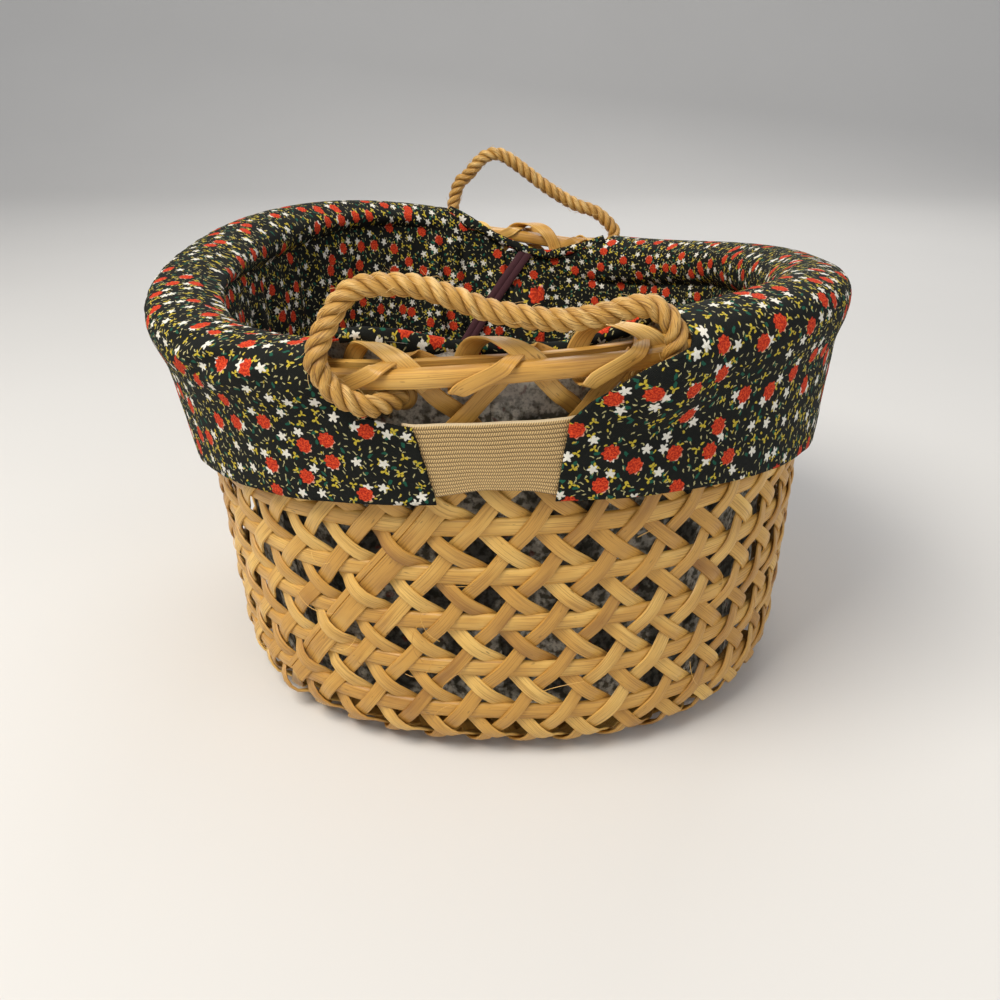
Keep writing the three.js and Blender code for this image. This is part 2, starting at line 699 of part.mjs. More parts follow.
const CUFF_OUT = LASH_OUT + LASHING_THICK + LAYER_GAP + CLOTH_THICK / 2 + CUFF_EASE;
const CUFF_TOP = LASH_TOP + LASHING_THICK + LAYER_GAP + CLOTH_THICK / 2 + CUFF_EASE;
const CUFF_HEM_OUT = patchOffset + PATCH_THICK / 2 + LAYER_GAP + CLOTH_THICK / 2 + CUFF_EASE;
const CUFF_END_OUT = CUFF_HEM_OUT + CUFF_STAND;
const CUFF_FULL_OUT = CUFF_END_OUT + CUFF_FULLNESS;
// The cuff's section from its hem, up the outside, over the rim and down to the liner's top edge
const CUFF_SECTION = [
  { z: null, offset: CUFF_HEM_OUT, out: [1, 0] },
  { z: (HEM_AT_ENDS + ELASTIC_TOP) / 2, offset: CUFF_END_OUT, out: [1, 0] },
  { z: ELASTIC_TOP, offset: CUFF_FULL_OUT, out: [1, 0] },
  { z: ELASTIC_TOP + EDGE_STEP, offset: CUFF_FULL_OUT, out: [1, 0] },
  { z: RIM_HEIGHT - RIM_HOOP_HEIGHT, offset: CUFF_OUT + CUFF_EASE, out: [1, 0] },
  { z: RIM_HEIGHT, offset: CUFF_OUT + CUFF_EASE, out: [0.98, 0.2] },
  { z: CUFF_TOP + ROLL_RISE * ROLL_SHOULDERS.outside, offset: CUFF_OUT - ROLL_CORNER, out: [0.6, 0.8] },
  { z: CUFF_TOP + ROLL_RISE, offset: 0, out: [0, 1] },
  {
    z: CUFF_TOP + ROLL_RISE * ROLL_SHOULDERS.inside,
    offset: ROLL_CORNER / 2 - LINER_SET_IN,
    out: [-0.7, 0.7],
  },
  { z: LINER_TOP + SEAM_GAP, offset: -LINER_SET_IN, out: [-1, 0] },
];

const CUFF_STEPS = 20;

function cuffPoint(share, section, offset) {
  const z = section.z ?? hemLevel(share);
  const [out, up] = section.out;
  const at = wallPoint(share, z, section.offset + out * offset);
  at.z += up * offset;
  return at;
}

for (const side of ["right", "left"]) {
  const cuff = (u, v, offset) => {
    const section = CUFF_SECTION[Math.round(v * (CUFF_SECTION.length - 1))];
    const z = section.z ?? HEM_AT_ENDS;
    const nearShare = notchHalf(z, "near", side) / RIM_LENGTH;
    const farShare = 0.5 - notchHalf(z, "far", side) / RIM_LENGTH;
    const share = THREE.MathUtils.lerp(nearShare, farShare, side === "right" ? u : 1 - u);
    return cuffPoint(side === "right" ? share : 1 - share, section, offset);
  };
  addMesh(`cuff_${side}`, sheet(cuff, CUFF_STEPS, CUFF_SECTION.length - 1, CLOTH_THICK), PRINT);
}

for (const near of [true, false]) {
  const band = (u, v, offset) => {
    const z = THREE.MathUtils.lerp(ELASTIC_BOTTOM, ELASTIC_TOP, v);
    const half = notchHalf(z, near ? "near" : "far", "left") - SEAM_GAP;
    const share = (near ? 0 : 0.5) + THREE.MathUtils.lerp(-half, half, u) / RIM_LENGTH;
    return wallPoint(share, z, THREE.MathUtils.lerp(CUFF_HEM_OUT + CUFF_EASE, CUFF_FULL_OUT, v) + offset);
  };
  const elastic = sheet(band, ELASTIC_STEPS.across, ELASTIC_STEPS.up, ELASTIC_THICK);
  addMesh(near ? "elastic_near" : "elastic_far", elastic, ELASTIC);
}

// A binding along the liner's lapped edge at the far end, and a cloth tab at the near end
const bindingOffset = -LINER_SET_IN - CLOTH_THICK - 2 * SEAM_GAP;
const bindingMiddles = [];
const bindingOuts = [];
const BINDING_STEPS = 5;
for (let i = 0; i <= BINDING_STEPS; i += 1) {
  const part = i / BINDING_STEPS;
  const x = THREE.MathUtils.lerp(BINDING_FROM.x, BINDING_TO.x, part);
  const z = RIM_HEIGHT - THREE.MathUtils.lerp(BINDING_FROM.drop, BINDING_TO.drop, part);
  const share = shareAtX(x, false);
  const at = wallPoint(share, z, bindingOffset);
  bindingMiddles.push(at);
  bindingOuts.push(wallPoint(share, z, bindingOffset + 1).sub(at));
}
const bindingFrames = stripFrames(bindingMiddles, bindingOuts, false);
const bindingSection = flatSection(BINDING_WIDTH, CLOTH_THICK);
addMesh("liner_binding", sweep(bindingFrames, bindingSection, false), BINDING);

const tab = (u, v, offset) => {
  const x = TAB_X + (u - 0.5) * THREE.MathUtils.lerp(TAB_FOOT_WIDTH, TAB_TOP_WIDTH, v);
  const z = LINER_TOP + THREE.MathUtils.lerp(-TAB_DROP, TAB_RISE, v);
  const lean = TAB_LEAN * v * v;
  const inside = LINER_SET_IN + CLOTH_THICK / 2 + SEAM_GAP + TAB_THICK / 2;
  return wallPoint(shareAtX(x, true), z, offset - inside - lean);
};
addMesh("liner_tab", sheet(tab, TAB_STEPS.across, TAB_STEPS.up, TAB_THICK), PRINT);

export default basket;
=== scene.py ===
"""The looks of an oval cane basket with a printed cloth liner, elastic ends and rope handles."""

import math

import bmesh
import bpy
import numpy as np
from mathutils import Matrix


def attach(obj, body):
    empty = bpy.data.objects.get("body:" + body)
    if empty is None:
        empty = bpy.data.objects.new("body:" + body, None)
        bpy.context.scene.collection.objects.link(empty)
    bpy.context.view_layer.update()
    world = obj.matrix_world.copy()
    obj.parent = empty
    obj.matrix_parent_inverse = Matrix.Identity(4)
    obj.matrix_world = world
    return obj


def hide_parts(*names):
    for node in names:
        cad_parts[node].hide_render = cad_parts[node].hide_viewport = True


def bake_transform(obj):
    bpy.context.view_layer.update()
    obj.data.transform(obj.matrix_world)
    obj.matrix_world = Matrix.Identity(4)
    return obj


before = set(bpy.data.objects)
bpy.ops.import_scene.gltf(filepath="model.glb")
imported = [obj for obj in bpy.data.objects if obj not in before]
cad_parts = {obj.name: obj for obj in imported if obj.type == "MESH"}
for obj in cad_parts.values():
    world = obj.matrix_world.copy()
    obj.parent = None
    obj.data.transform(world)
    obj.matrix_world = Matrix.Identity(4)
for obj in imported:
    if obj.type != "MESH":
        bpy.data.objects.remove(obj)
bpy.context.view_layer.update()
rng = np.random.default_rng(11)

# Sizes are millimetres here, and become metres where a mesh is made
MM = 0.001

# Wall, as in the model
RIM_HALF_LENGTH = 139.8
RIM_HALF_WIDTH = 124.2
PLAN_POWER = 2.3
RIM_HEIGHT = 150.5
WALL_LEAN = math.radians(3.6)
CORNER_RADIUS = 12.0
FLOOR_LEVEL = 4.5
RIM_TWIST = 5.9
RIM_RISE = 1.3
RIM_SHIFT = -5.0
RIM_SAG = 6.5
SAG_ANGLE = 1.21
SAG_SPREAD = 0.6
NEAR_ANGLE = -math.pi / 2

# Weave
STRIPS = 46
STRIP_WIDTH = 6.4
STRIP_THICK = 1.1
HOOP_LEVELS = [20.4, 39, 57.6, 76.2, 94.8, 113.4]
HOOP_PITCH = 18.6
HOOP_WIDTH = 6.5
HOOP_THICK = 2.0
CROSSING_ROW = 0.5
LEANS = {1: (0.85, 1.0), -1: (-1.15, -1.0)}  # below and above the crossing under the highest hoop
SHORT_STRIP_TOP = 126.0  # every second strip ends under the cuff
UNDER_BASE = 16.0  # how far a strip runs on under the base
WIDE_STRIP = -1
WIDE_WIDTH = 9.6
WIDE_LEVELS = (20, 110)

# Rim
RIM_HOOP_HEIGHT = 6.2
RIM_HOOP_THICK = 4.8
RIM_MIDDLE = 4.8
BAND_LEVEL = RIM_HEIGHT - RIM_HOOP_HEIGHT / 2
LASHING_GAPS = 2
LASHING_START = -0.5
LASHING_WIDTH = 5.0
LASHING_THICK = 0.8

# Base
BASE_RING = 10.0
BASE_STRIP_WIDTH = 9.0
BASE_STRIP_PITCH = 17.0
BASE_TURN = math.radians(49)
BASE_LEVEL = 1.35
BASE_WAVE = 0.5
BASE_STRIP_THICK = 0.8
BASE_COUNT = 9  # strips to each side of the middle one
BASE_REACH = 180.0
BASE_MARGIN = 7.0
BASE_RING_LEVEL = 0.52
DOWN = (0.0, 0.0, -1.0)

# Cloth
CLOTH_THICK = 0.7
LINER_SET_IN = 11.2
LINER_FOOT = 10.0
LINER_TOP = 151.8
LINER_FLOOR = 9.6
CREST = 157.2
CUFF_OUT = 11.9
CUFF_FULL_OUT = 8.9
CUFF_END_OUT = 7.8
CUFF_HEM_OUT = 6.8
HEM_AT_ENDS = 106.5
HEM_AT_SIDES = 95.0
ELASTIC_TOP = 133.6
ELASTIC_BOTTOM = 107.6
ELASTIC_HALF_TOP = 22.5
ELASTIC_HALF_BOTTOM = 18.2
ELASTIC_TUCK = 3.5  # under each cuff
ELASTIC_THICK = 0.9
ELASTIC_BOW = 3.4  # of its lower edge
ELASTIC_RIBS = 18
RIB_HEIGHT = 0.5
STITCH = 0.7  # of the elastic's knit

# Rope
ROPE_PITCH = 14.0
STRAND_RADIUS = 1.72
STRAND_OUT = 1.88
STRAND_SIDES = 20
KNOT_RING = 3.0
KNOT_THICK = 2.0
HAIRS = 40
HAIR_RADIUS = 0.06
FIBRE_TURN = 1.1  # fibres of a strand lie nearly along the rope
PIVOTS = {"near": {"left": -45, "right": 50}, "far": {"left": -26, "right": 57}}
PIVOT_LEVEL = 157.5
PIVOT_OUT = 13.9
PASS_LEVEL = 138.8
PASS_DEPTH = -3.65
PASS_GAPS = {"left": -1.5, "right": 2.5}
END_ROUTE = [(0.09, 0.62, 1), (0.31, 0.36, 1), (0.63, 0.13, 0.84), (0.89, 0.06, 0.42), (1, 0.03, 0)]
ROPE_LEANS = {"near": math.radians(15), "far": math.radians(-5)}
# (share of the way from the middle to a pivot, height) along each rope's arch
ARCHES = {
    "near": [(-0.92, 10.5), (-0.8, 18), (-0.64, 19.2), (-0.43, 17.9), (-0.21, 13.6),
             (0, 9.2), (0.33, 5.6), (0.55, 5.8), (0.77, 7.6), (0.9, 6.4)],
    "far": [(-0.92, 13.3), (-0.8, 19.1), (-0.62, 28.9), (-0.44, 32.2), (-0.25, 29.2),
            (0.12, 19.3), (0.36, 13.9), (0.55, 10.6), (0.79, 8.2)],
}

# Camera, fitted to the photograph's frame
CAMERA_AT = (4.3, -425.2, 231.1)
CAMERA_YAW = -0.0198
CAMERA_PITCH = 0.4143
CAMERA_LENS = 36.0
SENSOR = 36.0


# The wall's surface

def wall_inset(level):
    return (RIM_HEIGHT - level) * math.tan(WALL_LEAN)


TURN = math.pi / 2 - WALL_LEAN
WALL_FOOT = FLOOR_LEVEL + CORNER_RADIUS * (1 - math.cos(TURN))
FLOOR_INSET = wall_inset(WALL_FOOT) + CORNER_RADIUS * math.sin(TURN)
TURN_LENGTH = CORNER_RADIUS * TURN


def half_sizes(inset):
    return RIM_HALF_LENGTH - inset, RIM_HALF_WIDTH - inset


def plan_at(angle, half_length, half_width):
    c, s = np.cos(angle), np.sin(angle)
    power = 2 / PLAN_POWER
    return half_width * np.sign(c) * np.abs(c) ** power, half_length * np.sign(s) * np.abs(s) ** power


def lengths(path):
    return np.concatenate([[0], np.cumsum(np.linalg.norm(np.diff(path, axis=0), axis=1))])


PLAN_ANGLES = NEAR_ANGLE + np.linspace(0, math.tau, 1441)
PLAN_LENGTHS = lengths(np.stack(plan_at(PLAN_ANGLES, *half_sizes(0)), -1))
RIM_LENGTH = PLAN_LENGTHS[-1]


def wall(share, level, offset):
    """A point by its way round the wall, its height (or its length below the wall's foot) and its way out."""
    share, level, offset = np.broadcast_arrays(share, level, offset)
    angle = np.interp((share % 1) * RIM_LENGTH, PLAN_LENGTHS, PLAN_ANGLES)
    drop = np.maximum(WALL_FOOT - level, 0)
    turn = np.clip(TURN - drop / CORNER_RADIUS, 0, TURN)
    under = np.maximum(drop - TURN_LENGTH, 0)
    below = drop > 0
    inset = np.where(below, FLOOR_INSET - CORNER_RADIUS * np.sin(turn) + under, wall_inset(level))
    z = np.where(below, FLOOR_LEVEL + CORNER_RADIUS * (1 - np.cos(turn)), level)
    half_length, half_width = half_sizes(inset)
    x, y = plan_at(angle, half_length, half_width)
    nx = np.sign(x) * np.abs(x / half_width) ** (PLAN_POWER - 1) / half_width
    ny = np.sign(y) * np.abs(y / half_length) ** (PLAN_POWER - 1) / half_length
    size = np.hypot(nx, ny)
    high = (z / RIM_HEIGHT) ** 2
    sunk = RIM_SAG * bell(angle, SAG_ANGLE, SAG_SPREAD)
    bend = RIM_RISE * np.cos(angle) ** 2 - RIM_TWIST * np.sin(2 * angle) - sunk
    out = np.sin(turn) * offset
    return np.stack([
        x + nx / size * out + RIM_SHIFT * high,
        y + ny / size * out,
        z - np.cos(turn) * offset + bend * high,
    ], -1)


def wall_out(share, level, offset):
    return wall(share, level, offset + 1) - wall(share, level, offset)


def share_at(along, end):
    share = along / RIM_LENGTH
    return share if end == "near" else 0.5 - share


def from_end(share):
    """Way along the rim from the middle of the nearer end."""
    return np.minimum(share % 0.5, 0.5 - share % 0.5) * RIM_LENGTH


# Small tools

def unit(v):
    return v / np.maximum(np.linalg.norm(v, axis=-1, keepdims=True), 1e-9)


def smooth(x, low, high):
    t = np.clip((x - low) / (high - low), 0, 1)
    return t * t * (3 - 2 * t)


def bell(x, at, spread):
    return np.exp(-(((x - at) / spread) ** 2))


def spline(points, step):
    """A smooth curve through the points, sampled evenly."""
    p = np.asarray(points, float)
    p = np.concatenate([[2 * p[0] - p[1]], p, [2 * p[-1] - p[-2]]])
    t = np.linspace(0, 1, 24, endpoint=False)[:, None]
    parts = [0.5 * (2 * b + (c - a) * t + (2 * a - 5 * b + 4 * c - d) * t**2 + (3 * b - a - 3 * c + d) * t**3)
             for a, b, c, d in zip(p, p[1:], p[2:], p[3:])]
    fine = np.concatenate(parts + [p[-2:-1]])
    along = lengths(fine)
    want = np.linspace(0, along[-1], max(2, round(along[-1] / step) + 1))
    return np.stack([np.interp(want, along, fine[:, k]) for k in range(fine.shape[1])], -1)


def waver(x, wave, amount, count=3):
    """A smooth random wobble along x, with about the given wavelength."""
    total = np.zeros_like(x)
    for k in range(count):
        turn = math.tau / (wave * (0.6 + 0.5 * k))
        total += np.sin(x * turn + rng.uniform(0, math.tau)) * rng.uniform(0.5, 1)
    return total * amount / count


def spins(count):
    return np.linspace(0, math.tau, count, endpoint=False)


def round_section(count, radius):
    return np.stack([np.cos(spins(count)), np.sin(spins(count))], -1) * radius


def tube_points(path, side, lift, wide, high):
    """Rings of points round a path, by their half widths and half heights."""
    spin = spins(wide.shape[1])
    return (path[:, None] + side[:, None] * (np.cos(spin) * wide)[..., None]
            + lift[:, None] * (np.sin(spin) * high)[..., None])


def map_of(along, over):
    return np.stack(np.meshgrid(along, over, indexing="ij"), -1)


def clean(mesh, join=False):
    """Turns every face outwards, once the corners that share a place are joined if asked."""
    shape = bmesh.new()
    shape.from_mesh(mesh)
    if join:
        bmesh.ops.remove_doubles(shape, verts=shape.verts, dist=1e-6)
    bmesh.ops.recalc_face_normals(shape, faces=shape.faces)
    shape.to_mesh(mesh)
    shape.free()


def linked(name, data):
    thing = bpy.data.objects.new(name, data)
    bpy.context.scene.collection.objects.link(thing)
    return thing


class Build:
    """Gathers grids of points into one mesh, with a map in millimetres and a tone at each point."""

    def __init__(self):
        self.points, self.tones, self.faces, self.maps, self.slots = [], [], [], [], []
        self.count = 0

    def grid(self, points, grid_map, tone=0.5, ring=False, tube=False, caps=False, slot=0):
        rows, cols = points.shape[:2]
        self.points.append(points.reshape(-1, 3))
        self.tones.append(np.broadcast_to(tone, (rows, cols)).ravel())
        i, j = np.indices((rows if ring else rows - 1, cols if tube else cols - 1))
        i2, j2 = (i + 1) % rows, (j + 1) % cols
        quads = np.stack([i * cols + j, i * cols + j2, i2 * cols + j2, i2 * cols + j], -1)
        steps = ((0, 0), (0, 1), (1, 1), (1, 0))
        corners = np.stack([grid_map[i + down, j + right] for down, right in steps], 2)
        self.faces += list(quads.reshape(-1, 4) + self.count)
        self.maps.append(corners.reshape(-1, 2))
        self.slots += [slot] * quads[..., 0].size
        if caps:
            for row in (0, rows - 1):
                self.faces.append(np.arange(cols) + row * cols + self.count)
                self.maps.append(grid_map[row, :cols])
                self.slots.append(slot)
        self.count += rows * cols

    def strip(self, path, outs, section, tone=0.5, ring=False, width=1.0, thick=1.0):
        """Carries a closed section of (across, out) points along a path."""
        if ring:
            along = unit(np.roll(path, -1, 0) - np.roll(path, 1, 0))
        else:
            along = unit(np.gradient(path, axis=0))
        side = unit(np.cross(outs, along))
        out = np.cross(along, side)
        width, thick, tone = (np.broadcast_to(v, len(path))[:, None] for v in (width, thick, tone))
        across, rise = np.split(section[None], 2, -1)
        points = (path[:, None] + side[:, None] * across * width[..., None]
                  + out[:, None] * rise * thick[..., None])
        run = lengths(np.concatenate([path, path[:1]]) if ring else path)
        over = np.append(section[:, 0], section[0, 0])
        start = rng.uniform(0, 900)
        self.grid(points, map_of(run + start, over), tone, ring=ring, tube=True, caps=not ring)

    def laid(self, share, z, out, section, tone=0.5, face=None, **sizes):
        """Carries a section along the wall, with its face (its share out and up) turned from the wall's."""
        outs = wall_out(share, z, out)
        if face is not None:
            outs = unit(outs) * face[0][:, None]
            outs[:, 2] += face[1]
        self.strip(wall(share, z, out), outs, section, tone, **sizes)

    def make(self, name, materials, crease=40):
        mesh = bpy.data.meshes.new(name)
        mesh.from_pydata((np.concatenate(self.points) * MM).tolist(), [], [f.tolist() for f in self.faces])
        mesh.uv_layers.new(name="grain").data.foreach_set("uv", np.concatenate(self.maps).ravel())
        mesh.attributes.new("tone", "FLOAT", "POINT").data.foreach_set("value", np.concatenate(self.tones))
        mesh.polygons.foreach_set("material_index", self.slots)
        clean(mesh)
        for material in materials:
            mesh.materials.append(material)
        mesh.shade_smooth()
        mesh.set_sharp_from_angle(angle=math.radians(crease))
        return linked(name, mesh)


def settle(piece, slot, *nodes):
    """The piece rides on the basket and stands for its nodes; its slot is not used."""
    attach(piece, "basket")
    if nodes:
        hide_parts(*nodes)


# Materials

class Shader:
    """A procedural material, built socket by socket."""

    def __init__(self, name, **fixed):
        self.material = bpy.data.materials.new(name)
        self.material.use_nodes = True
        self.tree = self.material.node_tree
        self.surface = self.tree.nodes["Principled BSDF"]
        for socket, value in fixed.items():
            self.plug(self.surface, socket.replace("_", " "), value)

    def plug(self, node, socket, value):
        if isinstance(value, bpy.types.NodeSocket):
            self.tree.links.new(value, node.inputs[socket])
        else:
            node.inputs[socket].default_value = value

    def node(self, kind, inputs=None, **settings):
        node = self.tree.nodes.new("ShaderNode" + kind)
        for key, value in settings.items():
            setattr(node, key, value)
        for socket, value in (inputs or {}).items():
            self.plug(node, socket, value)
        return node

    def math(self, operation, *values):
        return self.node("Math", dict(enumerate(values)), operation=operation).outputs[0]

    def plus(self, a, b):
        return self.math("ADD", a, b)

    def times(self, a, b):
        return self.math("MULTIPLY", a, b)

    def vector(self, operation, *values):
        return self.node("VectorMath", dict(enumerate(values)), operation=operation).outputs[0]

    def mix(self, factor, a, b):
        return self.node("Mix", {0: factor, 6: a, 7: b}, data_type="RGBA").outputs[2]

    def ramp(self, factor, low, high, from_value=0.0, to_value=1.0):
        node = self.node("MapRange", {"Value": factor, "From Min": low, "From Max": high,
                                      "To Min": from_value, "To Max": to_value},
                         interpolation_type="SMOOTHSTEP")
        return node.outputs[0]

    def map(self):
        return self.node("UVMap", uv_map="grain").outputs[0]

    def parts(self, vector=None):
        return self.node("SeparateXYZ", {0: vector or self.map()}).outputs[:2]

    def length(self, vector):
        return self.node("VectorMath", {0: vector}, operation="LENGTH").outputs["Value"]

    def noise(self, detail, scale=1.0, vector=None, output=0):
        inputs = {"Vector": vector or self.map(), "Scale": scale, "Detail": detail}
        return self.node("TexNoise", inputs).outputs[output]

    def streaks(self, across, along, detail):
        return self.noise(detail=detail, vector=self.vector("MULTIPLY", self.map(), (along, across, 1)))

    def finish(self, color, roughness, height, strength, distance):
        self.plug(self.surface, "Base Color", color)
        self.plug(self.surface, "Roughness", roughness)
        bump = self.node("Bump", {"Height": height, "Strength": strength, "Distance": distance})
        self.plug(self.surface, "Normal", bump.outputs[0])
        return self.material


def fibre_material(name, dark, mid, pale, streak, gloss, bump, lined=0.5):
    """Plant fibre: long streaks, tone from piece to piece, and a few darker flecks; on the rope the tone also
    holds painted shade between the strands.
    """
    s = Shader(name, Specular_IOR_Level=0.45)
    lines = s.streaks(*streak, 5.0)
    cloudy = s.streaks(0.12, 0.035, 2.0)
    flecks = s.streaks(0.9, 0.22, 1.0)
    tone = s.node("Attribute", attribute_name="tone").outputs["Fac"]
    level = s.plus(s.times(tone, 0.55), s.times(cloudy, 0.45))
    color = s.mix(s.ramp(level, 0.28, 0.5), dark, mid)
    color = s.mix(s.ramp(level, 0.5, 0.75), color, pale)
    color = s.mix(s.ramp(lines, 0.36, 0.52, lined, 0.0), color, dark)
    color = s.mix(s.ramp(flecks, 0.7, 0.78, 0.0, 0.55), color, tuple(0.35 * v for v in dark[:3]) + (1,))
    roughness = s.ramp(lines, 0.3, 0.7, gloss + 0.14, gloss)
    return s.finish(color, roughness, lines, bump, 0.0005)


def kept(s, inside, chance, keep):
    """Leaves out the motif of some cells."""
    return s.times(inside, s.math("GREATER_THAN", chance[0], 1 - keep))


def flower_mask(s, local, chance, petals, radius, depth, keep):
    x, y = s.parts(local)
    turn = s.plus(s.math("ARCTAN2", y, x), s.times(chance[1], math.tau))
    edge = s.plus(s.times(s.math("COSINE", s.times(turn, petals)), depth), radius)
    inside = s.ramp(s.math("SUBTRACT", s.length(local), edge), -PRINT_BLUR, PRINT_BLUR, 1.0, 0.0)
    return kept(s, inside, chance, keep)


def leaf_mask(s, local, chance, half_length, half_width, keep):
    turned = s.node("VectorRotate", {"Vector": local, "Angle": s.times(chance[1], math.tau)},
                    rotation_type="Z_AXIS").outputs[0]
    shaped = s.vector("MULTIPLY", turned, (1 / half_length, 1 / half_width, 0))
    return kept(s, s.ramp(s.length(shaped), *LEAF_EDGE, 1.0, 0.0), chance, keep)


THREAD_PITCH = 0.62


def thread_height(s):
    turn = math.tau / THREAD_PITCH
    warp, weft = (s.math("SINE", s.times(v, turn)) for v in s.parts())
    return s.times(warp, weft)


PRINT_BLUR = 0.12
LEAF_EDGE = (0.85, 1.1)
PRINT_GROUND = (0.0075, 0.0085, 0.007, 1)
PRINT_SHIFT = np.array([37.3, 21.7, 0])  # between the scatters of the motifs
# Each motif: its scatter, the size of its cells, its shape and its colour
LEAVES = [
    (0, 4.4, (1.05, 0.5, 0.6), (0.012, 0.085, 0.052, 1)),
    (1, 2.4, (0.72, 0.19, 0.72), (0.44, 0.40, 0.19, 1)),
    (5, 4.0, (0.6, 0.3, 0.6), (0.50, 0.38, 0.04, 1)),
]
FLOWERS = [
    (2, 5.6, (3, 0.7, 0.66, 0.62), (0.52, 0.40, 0.04, 1)),
    (3, 8.0, (5, 1.3, 0.46, 0.78), (0.74, 0.71, 0.62, 1)),
]
RED_FLOWER = (4, 11.0, (8, 2.55, 0.26, 0.66))
LEAF_JITTER = 0.9
FLOWER_JITTER = 0.85


def print_colors(s):
    """A scatter of small flowers, sprigs and leaves on a dark ground."""
    wobble = s.noise(scale=1.1, detail=1.0, output="Color")
    moved = s.vector("MULTIPLY", s.vector("SUBTRACT", wobble, (0.5, 0.5, 0.5)), (0.9, 0.9, 0))
    place = s.vector("ADD", s.map(), moved)

    def cells(scatter, cell, jitter):
        """Voronoi cells on the cloth: the way from each cell's middle, and its random numbers."""
        at = s.vector("ADD", place, tuple(scatter * PRINT_SHIFT))
        found = s.node("TexVoronoi", {"Vector": at, "Scale": 1 / cell, "Randomness": jitter},
                       voronoi_dimensions="2D").outputs
        chance = s.node("SeparateColor", {0: found["Color"]}).outputs
        return s.vector("SUBTRACT", at, found["Position"]), chance

    color = PRINT_GROUND
    for scatter, cell, shape, leaf_color in LEAVES:
        color = s.mix(leaf_mask(s, *cells(scatter, cell, LEAF_JITTER), *shape), color, leaf_color)
    for scatter, cell, shape, flower_color in FLOWERS:
        color = s.mix(flower_mask(s, *cells(scatter, cell, FLOWER_JITTER), *shape), color, flower_color)
    scatter, cell, shape = RED_FLOWER
    local, chance = cells(scatter, cell, FLOWER_JITTER)
    mask = flower_mask(s, local, chance, *shape)
    petals = s.noise(scale=1.6, detail=2.0)
    red = s.mix(s.ramp(petals, 0.4, 0.62), (0.38, 0.018, 0.008, 1), (0.70, 0.072, 0.018, 1))
    x, y = s.parts(local)
    aside = s.plus(s.length(local), s.times(s.plus(x, y), 0.3))
    red = s.mix(s.ramp(aside, 3.0, 3.5, 0.0, 0.75), red, (0.80, 0.50, 0.36, 1))
    return s.mix(mask, color, red)


def print_material():
    s = Shader("printed_cotton", Specular_IOR_Level=0.16)
    worn = s.noise(scale=0.9, detail=4.0)
    color = s.mix(s.ramp(worn, 0.55, 0.8, 0.0, 0.09), print_colors(s), (0.10, 0.095, 0.08, 1))
    return s.finish(color, 0.86, thread_height(s), 0.35, 0.00025)


def reverse_material():
    s = Shader("cotton_reverse", Specular_IOR_Level=0.25)
    cloudy = s.noise(scale=0.32, detail=4.0)
    speckle = s.noise(scale=1.0, detail=8.0)
    color = s.mix(s.ramp(cloudy, 0.4, 0.6), (0.17, 0.16, 0.12, 1), (0.88, 0.85, 0.74, 1))
    color = s.mix(s.ramp(speckle, 0.46, 0.76, 0.0, 0.6), color, (0.09, 0.09, 0.07, 1))
    height = s.parts()[1]
    # Painted shade: dark patches at random, fewer towards the top, where painted light falls.
    painted_shade_patches = s.noise(scale=0.05, detail=2.0)
    painted_shade_patches = s.math("SUBTRACT", painted_shade_patches, s.ramp(height, 95.0, 132.0, 0.0, 0.2))
    color = s.mix(s.ramp(painted_shade_patches, 0.4, 0.56, 0.0, 0.86), color, (0.02, 0.021, 0.017, 1))
    # Painted light: the reverse is washed pale near its top, as if lit from above.
    painted_light = s.times(s.ramp(height, 118.0, 130.0, 0.0, 0.9), s.ramp(speckle, 0.42, 0.66, 1.0, 0.4))
    color = s.mix(painted_light, color, (0.92, 0.89, 0.80, 1))
    spots = s.noise(scale=0.21, detail=1.0)
    color = s.mix(s.ramp(spots, 0.66, 0.72, 0.0, 0.55), color, (0.20, 0.025, 0.016, 1))
    return s.finish(color, 0.9, thread_height(s), 0.35, 0.00025)


def elastic_material():
    s = Shader("ribbed_elastic", Specular_IOR_Level=0.4, Sheen_Weight=0.08)
    along, ribs = s.parts()
    rib = s.math("SINE", s.times(ribs, math.pi))
    slant = s.times(s.math("SIGN", rib), s.math("FRACT", ribs))
    knit = s.math("SINE", s.times(s.plus(along, slant), math.tau / STITCH))
    # Painted shade: the colour darkens in the grooves between the ribs.
    groove = s.ramp(s.math("ABSOLUTE", rib), 0.3, 1.0)
    shade = s.times(groove, s.ramp(knit, -0.7, 0.6, 0.3, 1.0))
    color = s.mix(shade, (0.06, 0.028, 0.007, 1), (0.68, 0.465, 0.20, 1))
    edge = s.ramp(ribs, ELASTIC_RIBS - 0.4, ELASTIC_RIBS - 0.25, 0.0, 0.7)
    color = s.mix(edge, color, (0.66, 0.53, 0.33, 1))
    return s.finish(color, 0.7, shade, 0.5, 0.0004)


def binding_material():
    s = Shader("woven_tape", Specular_IOR_Level=0.3)
    twill = s.math("SINE", s.times(s.plus(*s.parts()), 7.5))
    color = s.mix(s.ramp(twill, -0.6, 0.6), (0.035, 0.012, 0.016, 1), (0.11, 0.036, 0.045, 1))
    return s.finish(color, 0.75, twill, 0.4, 0.0003)


CANE_DARK = (0.25, 0.105, 0.02, 1)
CANE_MID = (0.54, 0.285, 0.056, 1)
CANE_PALE = (0.75, 0.475, 0.13, 1)
cane = fibre_material("split_cane", CANE_DARK, CANE_MID, CANE_PALE, (2.2, 0.05), 0.34, 0.35)
rope = fibre_material("rope_fibre", (0.20, 0.085, 0.012, 1), (0.55, 0.295, 0.06, 1),
                      (0.80, 0.54, 0.20, 1), (2.6, 0.1), 0.34, 1.0, lined=0.8)
printed = print_material()
reverse = reverse_material()
elastic = elastic_material()
tape = binding_material()


# Sections of split cane, as (across, out) points

def section_of(half, width, thick):
    """A closed section from its right half, in shares of half its width and half its thickness."""
    right = np.array(half)
    points = np.concatenate([right, right[::-1] * [-1, 1]])
    return np.roll(points, 2, axis=0) * [width / 2, thick / 2]


